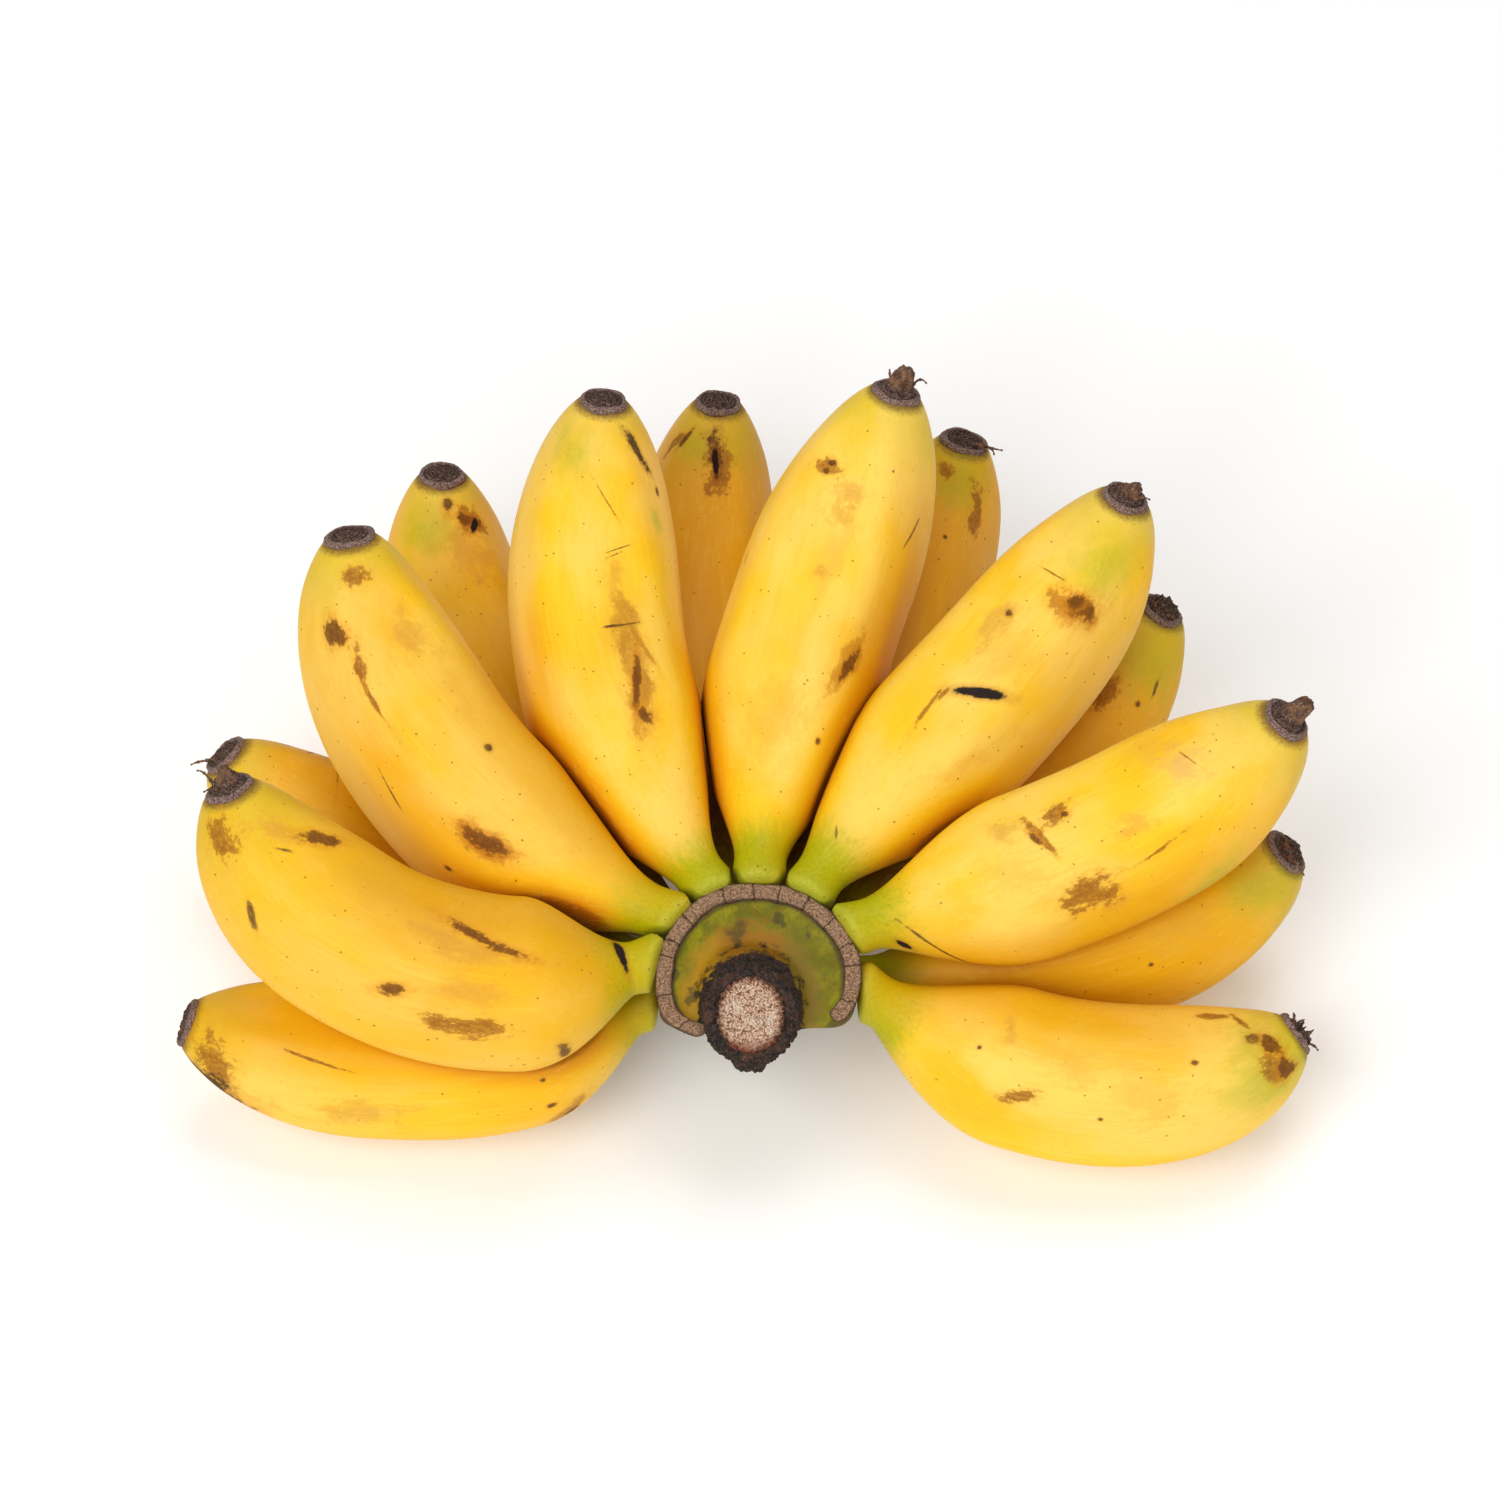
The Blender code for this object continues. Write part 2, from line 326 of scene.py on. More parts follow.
def outside(points, spec, blockSize=4000):
    # how far points are beyond a neighbour's round body, looked up in blocks to spare memory
    far = np.empty(len(points))
    for begin in range(0, len(points), blockSize):
        block = points[begin:begin + blockSize]
        apart = np.linalg.norm(block[:, None] - spec["spine"][None], axis=2) - spec["thick"][None]
        far[begin:begin + blockSize] = apart.min(axis=1)
    return far


def pressAgainst(centres, outer, own, neighbours):
    # flattens a fruit half the way to each neighbour that it would run into
    full = np.linalg.norm(outer - centres, axis=1)
    for other in neighbours:
        near = np.flatnonzero(outside(outer, other) - (full - own) < fruit["touchGap"])
        if not len(near):
            continue
        low = np.zeros(len(near))
        high = np.ones(len(near))
        for _ in range(fruit["touchRounds"]):
            share = (low + high) / 2
            trial = centres[near] + share[:, None] * (outer[near] - centres[near])
            clear = outside(trial, other) - (share * full[near] - own[near]) >= fruit["touchGap"]
            low = np.where(clear, share, low)
            high = np.where(clear, high, share)
        outer[near] = centres[near] + low[:, None] * (outer[near] - centres[near])
        full[near] *= low
    return outer


def growTube(name, around, along, bend):
    # a grid wrapped into a closed skin; bend turns (angle, share along) into points, their places on
    # the straightened piece and, for a fruit, how near its neighbours are, which sets its painted shade
    bpy.ops.mesh.primitive_grid_add(x_subdivisions=around, y_subdivisions=along, size=1)
    piece = namePiece(name)
    flat = readPoints(piece)
    points, straight, *neighbourShade = bend(2 * math.pi * flat[:, 0], flat[:, 1] + 0.5)
    writePoints(piece, points)
    storeVectors(piece, "straight", straight)
    if neighbourShade:
        layer = piece.data.attributes.new("neighbourShade", "FLOAT", "POINT")
        layer.data.foreach_set("value", neighbourShade[0])
    closeMesh(piece)
    return piece


def slideToPad(points, way):
    # how far along the stem each point of the foot moves to meet the round of the crown
    local = (points - crownCentre) @ padAxes.T
    localWay = padAxes @ way
    a = localWay[:2] @ localWay[:2]
    b = local[:, :2] @ localWay[:2]
    c = (local[:, :2] ** 2).sum(axis=1) - (padPlace["radius"] + fruit["footGap"]) ** 2
    return np.maximum((-b + np.sqrt(np.maximum(b * b - a * c, 0.0))) / a, -fruit["footSlide"])


def growBanana(name, spec, seed):
    rng = np.random.default_rng(seed)
    length = spec["size"][0] * mm
    spine = spec["spine"]
    share = np.linspace(0, 1, len(spine))
    ways = np.gradient(spine, axis=0)
    twist = rng.uniform(-0.25, 0.25)
    waves = [(k, rng.uniform(0.001, 0.006), rng.uniform(0, 6.3), rng.uniform(-2, 2)) for k in (1, 2, 3, 4)]
    lumps = [(w, rng.uniform(0.002, 0.006), rng.uniform(0, 6.3)) for w in (9, 14, 21)]

    def bend(angle, v):
        # closer rows at the stem and the tip
        crowding = fruit["endCrowding"]
        t = (1 - crowding) * v + crowding * (0.5 - 0.5 * np.cos(math.pi * v))
        middle = np.stack([np.interp(t, share, spine[:, k]) for k in range(3)], axis=1)
        way = np.stack([np.interp(t, share, ways[:, k]) for k in range(3)], axis=1)
        way = unit(way)
        side, up = crossways(way)
        bodyShare = smoothStep((t - 0.10) / 0.3) * (1 - smoothStep((t - 0.9) / 0.1))
        # the foot closes in a rounded knuckle
        fromFoot = np.clip(t * length / fruit["footRound"], 0, 1)
        own = radiusOf(spec, t) * np.sqrt(np.maximum(1 - (1 - fromFoot) ** 2, 0.0004))
        # five soft edges with flatter faces between them, never quite even
        turned = 5 * (angle + math.pi / 2 + twist * (t - 0.5))
        edges = np.cos(turned) + 0.28 * np.cos(2 * turned)
        uneven = sum(size * np.sin(k * angle + start + drift * t) for k, size, start, drift in waves)
        swells = sum(size * np.sin(w * t + start) for w, size, start in lumps)
        radius = own * (1 + bodyShare * (fruit["ridgeDepth"] * edges + uneven + swells))
        ring = np.cos(angle)[:, None] * side + np.sin(angle)[:, None] * up
        outer = middle + radius[:, None] * ring
        foot = spine[0] + radius[:, None] * ring
        slide = slideToPad(foot, unit(ways[0]))
        outer += (slide * np.exp(-((t * length / fruit["slideFade"]) ** 2)))[:, None] * way
        others = [bananas[other] for other in bananas if other != name]
        outer = pressAgainst(middle, outer, own, others)
        outer[:, 2] = np.maximum(outer[:, 2], 0.0)
        # nearness to the other fruits, kept for the painted shade between them
        nearest = np.min([outside(outer, other) for other in others], axis=0).clip(0)
        straight = np.stack([radius * np.cos(angle), radius * np.sin(angle), t * length], axis=1)
        return outer, straight, np.exp(-nearest / fruit["shadeReach"])

    return growTube("skin_" + name, fruit["around"], fruit["along"], bend)


# shader building blocks


def place(tree, kind, wires=None, **settings):
    node = tree.nodes.new(kind)
    for key, value in settings.items():
        setattr(node, key, value)
    for key, value in (wires or {}).items():
        if isinstance(value, bpy.types.NodeSocket):
            tree.links.new(value, node.inputs[key])
        else:
            node.inputs[key].default_value = value
    return node


def calc(tree, operation, first, second=0.0):
    return place(tree, "ShaderNodeMath", {0: first, 1: second}, operation=operation).outputs[0]


def times(tree, first, second):
    return calc(tree, "MULTIPLY", first, second)


def plus(tree, first, second):
    return calc(tree, "ADD", first, second)


def minus(tree, first, second):
    return calc(tree, "SUBTRACT", first, second)


def shifted(tree, value, noise, size):
    # a value moved to and fro by a noise, so that the edge drawn from it is broken
    return plus(tree, value, times(tree, minus(tree, noise, 0.5), size))


def distance(tree, x, y):
    squares = plus(tree, times(tree, x, x), times(tree, y, y))
    return calc(tree, "SQRT", squares)


def fade(tree, value, low, high, toLow=0.0, toHigh=1.0):
    wires = {"Value": value, "From Min": low, "From Max": high, "To Min": toLow, "To Max": toHigh}
    return place(tree, "ShaderNodeMapRange", wires, interpolation_type="SMOOTHSTEP").outputs[0]


def blendColour(tree, factor, first, second):
    # a colour is a wire or three numbers
    first, second = (tone + (1,) if isinstance(tone, tuple) else tone for tone in (first, second))
    return place(tree, "ShaderNodeMix", {0: factor, 6: first, 7: second}, data_type="RGBA").outputs[2]


def paint(tree, colour, tones, layers):
    # lays named tones over a colour, each through its own mask
    for name, mask in layers:
        colour = blendColour(tree, mask, colour, tones[name])
    return colour


def stretch(tree, vector, scale, shift=None):
    wires = {0: vector, 1: scale}
    grown = place(tree, "ShaderNodeVectorMath", wires, operation="MULTIPLY").outputs[0]
    if shift is None:
        return grown
    return place(tree, "ShaderNodeVectorMath", {0: grown, 1: shift}, operation="ADD").outputs[0]


def cloud(tree, vector, scale=1.0, detail=3.0, rough=0.5):
    wires = {"Vector": vector, "Scale": scale, "Detail": detail, "Roughness": rough}
    return place(tree, "ShaderNodeTexNoise", wires).outputs["Fac"]


def cells(tree, vector, scale, fewest, widest, edge):
    # scattered dots: a few cells, chosen by luck, hold one each
    grid = place(tree, "ShaderNodeTexVoronoi", {"Vector": vector, "Scale": scale}, feature="F1").outputs
    luck = place(tree, "ShaderNodeSeparateColor", {0: grid["Color"]}).outputs
    reach = fade(tree, luck[0], fewest, 1.0, 0.0, widest)
    return fade(tree, minus(tree, reach, grid["Distance"]), 0.0, edge), luck[1]


def inMillimetres(tree, vector):
    return stretch(tree, vector, (1000, 1000, 1000))


def attribute(tree, name):
    return place(tree, "ShaderNodeAttribute", attribute_name=name).outputs


def objectPoint(tree):
    return inMillimetres(tree, place(tree, "ShaderNodeTexCoord").outputs["Object"])


def newGroup(name, takes, gives):
    group = bpy.data.node_groups.new(name, "ShaderNodeTree")
    kinds = {"v": "NodeSocketVector", "f": "NodeSocketFloat", "c": "NodeSocketColor"}
    for label, kind in takes:
        group.interface.new_socket(label, in_out="INPUT", socket_type=kinds[kind])
    for label, kind in gives:
        group.interface.new_socket(label, in_out="OUTPUT", socket_type=kinds[kind])
    begin = group.nodes.new("NodeGroupInput")
    end = group.nodes.new("NodeGroupOutput")
    return group, begin.outputs, end.inputs


def newMaterial(name, roughness, specular):
    material = bpy.data.materials.new(name)
    material.use_nodes = True
    shader = material.node_tree.nodes["Principled BSDF"]
    shader.inputs["Roughness"].default_value = roughness
    shader.inputs["Specular IOR Level"].default_value = specular
    return material, material.node_tree, shader


def dress(tree, shader, colour, height, bumpStrength, bumpDepth, rough=None):
    tree.links.new(colour, shader.inputs["Base Color"])
    if rough is not None:
        tree.links.new(rough, shader.inputs["Roughness"])
    bump = place(tree, "ShaderNodeBump", {"Height": height, "Strength": bumpStrength, "Distance": bumpDepth})
    tree.links.new(bump.outputs[0], shader.inputs["Normal"])


def useGroup(tree, group, wires):
    return place(tree, "ShaderNodeGroup", wires, node_tree=group).outputs


# the peel
peel = {
    "roughness": 0.42, "specular": 0.18, "glow": 0.08, "glowReach": (1.0, 0.55, 0.12), "glowDepth": 4.0 * mm,
    "tipGreen": 0.35, "stemShade": 0.8, "bump": 0.4, "bumpDepth": 0.3 * mm,
}
peelTones = {
    "sunny": (0.93, 0.565, 0.006), "deep": (0.91, 0.485, 0.004), "paintedSheen": (0.95, 0.645, 0.14),
    "shadeOrange": (0.73, 0.32, 0.002), "creaseShade": (0.62, 0.19, 0.001), "gapShade": (0.25, 0.05, 0.001),
    "stemShade": (0.13, 0.05, 0.005), "darkFibre": (0.80, 0.40, 0.01), "paleFibre": (0.97, 0.70, 0.10),
    "grain": (0.70, 0.30, 0.01), "rust": (0.62, 0.24, 0.015), "stem": (0.45, 0.41, 0.001),
    "knuckle": (0.44, 0.43, 0.03), "moss": (0.26, 0.28, 0.002), "tip": (0.46, 0.44, 0.03),
    "singed": (0.16, 0.075, 0.02), "speck": (0.16, 0.055, 0.008), "pore": (0.26, 0.09, 0.006),
    "tick": (0.30, 0.12, 0.01),
}


def buildPeelGroup():
    tree, takes, gives = newGroup(
        "peelSkin",
        [
            ("Straight", "v"), ("Shift", "v"), ("Length", "f"), ("Tip Green", "f"),
            ("Painted Shade", "f"), ("Neighbour Shade", "f"), ("Stem Shade", "f"),
        ],
        [("Color", "c"), ("Roughness", "f"), ("Height", "f")],
    )
    tones = peelTones
    point = inMillimetres(tree, takes["Straight"])
    moved = place(tree, "ShaderNodeVectorMath", {0: point, 1: takes["Shift"]}, operation="ADD").outputs[0]
    along = place(tree, "ShaderNodeSeparateXYZ", {0: point}).outputs[2]
    broad = cloud(tree, stretch(tree, moved, (0.045, 0.045, 0.025)), 1.0, 2.0)
    fibre = cloud(tree, stretch(tree, moved, (1.3, 1.3, 0.07)), 1.0, 4.0, 0.6)
    grain = cloud(tree, moved, 1.6, 4.0, 0.65)
    # sunny to deep yellow, then a painted pale sheen in wide patches, held back where neighbours shade the fruit
    colour = blendColour(tree, fade(tree, broad, 0.42, 0.68), tones["sunny"], tones["deep"])
    paintedSheen = fade(tree, cloud(tree, stretch(tree, moved, (0.06, 0.06, 0.03)), 1.0, 3.0), 0.36, 0.66, 0.05, 0.75)
    paintedSheen = times(tree, paintedSheen, fade(tree, takes["Neighbour Shade"], 0.55, 0.1))
    colour = blendColour(tree, paintedSheen, colour, tones["paintedSheen"])
    # painted shade: a deeper orange on the fruits that lie in shade, and darker orange where a fruit lies against a
    # neighbour
    colour = blendColour(tree, takes["Painted Shade"], colour, tones["shadeOrange"])
    # painted shade where a fruit lies against a neighbour, darkest in the narrow gaps
    creaseShade = fade(tree, shifted(tree, takes["Neighbour Shade"], broad, 0.4), 0.34, 1.0, 0.0, 0.8)
    colour = paint(tree, colour, tones, [
        ("creaseShade", creaseShade),
        ("gapShade", fade(tree, takes["Neighbour Shade"], 0.8, 1.0, 0.0, 0.7)),
    ])
    # painted shade: dark brown on the lower stems, which lie in shadow under the upper row
    stemShadeMask = times(tree, fade(tree, along, 42.0, 24.0), takes["Stem Shade"])
    colour = blendColour(tree, stemShadeMask, colour, tones["stemShade"])
    # long fibres, grain, and a fine rust dusting in patches
    colour = paint(tree, colour, tones, [
        ("darkFibre", fade(tree, fibre, 0.5, 0.72, 0.0, 0.22)),
        ("paleFibre", fade(tree, fibre, 0.5, 0.3, 0.0, 0.18)),
        ("grain", fade(tree, grain, 0.55, 0.75, 0.0, 0.12)),
    ])
    patch = fade(tree, cloud(tree, moved, 0.09, 3.0), 0.55, 0.72)
    dust = fade(tree, cloud(tree, moved, 2.2, 2.0, 0.7), 0.60, 0.70, 0.0, 0.45)
    colour = blendColour(tree, times(tree, patch, dust), colour, tones["rust"])
    # green that fades from the stem, and a tint at the tip
    edge = shifted(tree, shifted(tree, along, fibre, 9.0), broad, 10.0)
    stemGreen = blendColour(tree, fade(tree, along, 5.0, 0.5), tones["stem"], tones["knuckle"])
    mossy = blendColour(tree, fade(tree, grain, 0.4, 0.7, 0.0, 0.5), stemGreen, tones["moss"])
    colour = blendColour(tree, fade(tree, edge, 17.0, 6.5), colour, mossy)
    fromTip = minus(tree, takes["Length"], along)
    tipEdge = shifted(tree, fromTip, broad, 26.0)
    tipMask = times(tree, fade(tree, tipEdge, 15.0, 1.0), takes["Tip Green"])
    colour = blendColour(tree, tipMask, colour, tones["tip"])
    singed = fade(tree, plus(tree, fromTip, times(tree, grain, 1.6)), 2.6, 0.9, 0.0, 0.85)
    colour = blendColour(tree, singed, colour, tones["singed"])
    # brown specks, finer pores, and short ticks that lie along the fruit
    speck, luck = cells(tree, stretch(tree, moved, (1, 1, 0.7)), 0.26, 0.62, 0.085, 0.03)
    speck = times(tree, speck, luck)
    colour = blendColour(tree, times(tree, speck, 0.9), colour, tones["speck"])
    pore, _ = cells(tree, moved, 0.62, 0.58, 0.19, 0.05)
    colour = blendColour(tree, times(tree, pore, 0.7), colour, tones["pore"])
    tick, _ = cells(tree, stretch(tree, moved, (1, 1, 0.16), (5, 9, 3)), 0.22, 0.78, 0.06, 0.03)
    tick = times(tree, tick, fade(tree, grain, 0.45, 0.6))
    colour = blendColour(tree, times(tree, tick, 0.7), colour, tones["tick"])
    tree.links.new(colour, gives["Color"])
    rough = plus(tree, fade(tree, grain, 0.3, 0.7, 0.42, 0.56), times(tree, speck, 0.25))
    tree.links.new(plus(tree, rough, times(tree, singed, 0.3)), gives["Roughness"])
    height = plus(tree, times(tree, fibre, 0.35), times(tree, grain, 0.22))
    height = minus(tree, height, times(tree, speck, 0.4))
    tree.links.new(height, gives["Height"])
    return tree


peelGroup = buildPeelGroup()


def buildMarkGroup():
    # one blemish: an ellipse wrapped on the fruit with an edge broken by noise
    tree, takes, gives = newGroup(
        "peelMark",
        [
            ("Straight", "v"), ("Fine", "f"), ("Coarse", "f"), ("Along", "f"), ("At", "f"),
            ("Length", "f"), ("Width", "f"), ("Turn", "f"), ("Ragged", "f"), ("Soft", "f"),
        ],
        [("Core", "f"), ("Halo", "f")],
    )
    x, y, z = place(tree, "ShaderNodeSeparateXYZ", {0: inMillimetres(tree, takes["Straight"])}).outputs
    angle = minus(tree, calc(tree, "ARCTAN2", x, y), takes["At"])
    across = times(tree, angle, distance(tree, x, y))
    run = minus(tree, z, takes["Along"])
    sine, cosine = calc(tree, "SINE", takes["Turn"]), calc(tree, "COSINE", takes["Turn"])
    longWay = plus(tree, times(tree, across, sine), times(tree, run, cosine))
    wideWay = minus(tree, times(tree, across, cosine), times(tree, run, sine))
    longWay = calc(tree, "DIVIDE", times(tree, longWay, 2.0), takes["Length"])
    wideWay = calc(tree, "DIVIDE", times(tree, wideWay, 2.0), takes["Width"])
    broken = times(tree, minus(tree, takes["Coarse"], 0.5), 3.2)
    broken = shifted(tree, broken, takes["Fine"], 3.0)
    far = plus(tree, distance(tree, longWay, wideWay), times(tree, broken, takes["Ragged"]))
    core = fade(tree, far, plus(tree, 1.0, takes["Soft"]), minus(tree, 1.0, takes["Soft"]))
    tree.links.new(core, gives["Core"])
    tree.links.new(fade(tree, far, 2.3, 0.7), gives["Halo"])
    return tree


markGroup = buildMarkGroup()
# core colour and strength, halo colour and strength, ragged, soft, roughness, depth
markKinds = {
    "bruise": ((0.15, 0.045, 0.003), 0.95, (0.66, 0.25, 0.008), 0.6, 0.6, 0.25, 0.12, 0.35),
    "stain": ((0.46, 0.19, 0.012), 0.85, (0.74, 0.36, 0.02), 0.35, 0.42, 0.25, 0.06, 0.15),
    "rust": ((0.28, 0.085, 0.004), 0.88, (0.72, 0.32, 0.010), 0.4, 0.9, 0.3, 0.12, 0.2),
    # shade: painted shade over the side of a fruit that lies in shadow
    "shade": ((0.72, 0.32, 0.001), 0.60, (0.74, 0.34, 0.001), 0.45, 0.1, 0.95, 0.0, 0.0),
    "tan": ((0.62, 0.28, 0.035), 0.55, (0.74, 0.38, 0.03), 0.2, 1.1, 0.6, 0.1, 0.1),
    "faint": ((0.74, 0.38, 0.03), 0.45, (0.8, 0.45, 0.03), 0.1, 1.0, 0.8, 0.06, 0.0),
    "pink": ((0.70, 0.36, 0.12), 0.5, (0.78, 0.46, 0.10), 0.3, 1.0, 0.7, 0.1, 0.1),
    "gash": ((0.018, 0.009, 0.006), 1.0, (0.42, 0.14, 0.01), 0.5, 0.25, 0.2, 0.2, 0.9),
    "scratch": ((0.085, 0.032, 0.01), 0.9, (0.5, 0.2, 0.02), 0.2, 0.7, 0.35, 0.1, 0.4),
    "spot": ((0.10, 0.034, 0.008), 0.92, (0.55, 0.22, 0.012), 0.5, 0.55, 0.35, 0.15, 0.4),
    "scab": ((0.055, 0.026, 0.014), 0.95, (0.4, 0.17, 0.02), 0.6, 0.8, 0.3, 0.35, -0.6),
    "green": ((0.34, 0.39, 0.01), 0.5, (0.6, 0.5, 0.02), 0.15, 0.5, 0.9, 0.0, 0.0),
}


def addMark(tree, straight, noises, channels, mark):
    kind, along, at, length, width, turn = mark
    core, coreShare, halo, haloShare, ragged, soft, dull, depth = markKinds[kind]
    shape = useGroup(
        tree,
        markGroup,
        {
            "Straight": straight, "Fine": noises[0], "Coarse": noises[1],
            "Along": float(along), "At": math.radians(at), "Turn": math.radians(turn),
            "Length": float(length), "Width": float(width), "Ragged": ragged, "Soft": soft,
        },
    )
    colour, rough, height = channels
    colour = blendColour(tree, times(tree, shape["Halo"], haloShare), colour, halo)
    uneven = fade(tree, noises[0], 0.35, 0.6, max(coreShare**4, coreShare * 0.55), coreShare)
    colour = blendColour(tree, times(tree, shape["Core"], uneven), colour, core)
    rough = plus(tree, rough, times(tree, shape["Core"], dull))
    height = minus(tree, height, times(tree, shape["Core"], depth))
    return colour, rough, height


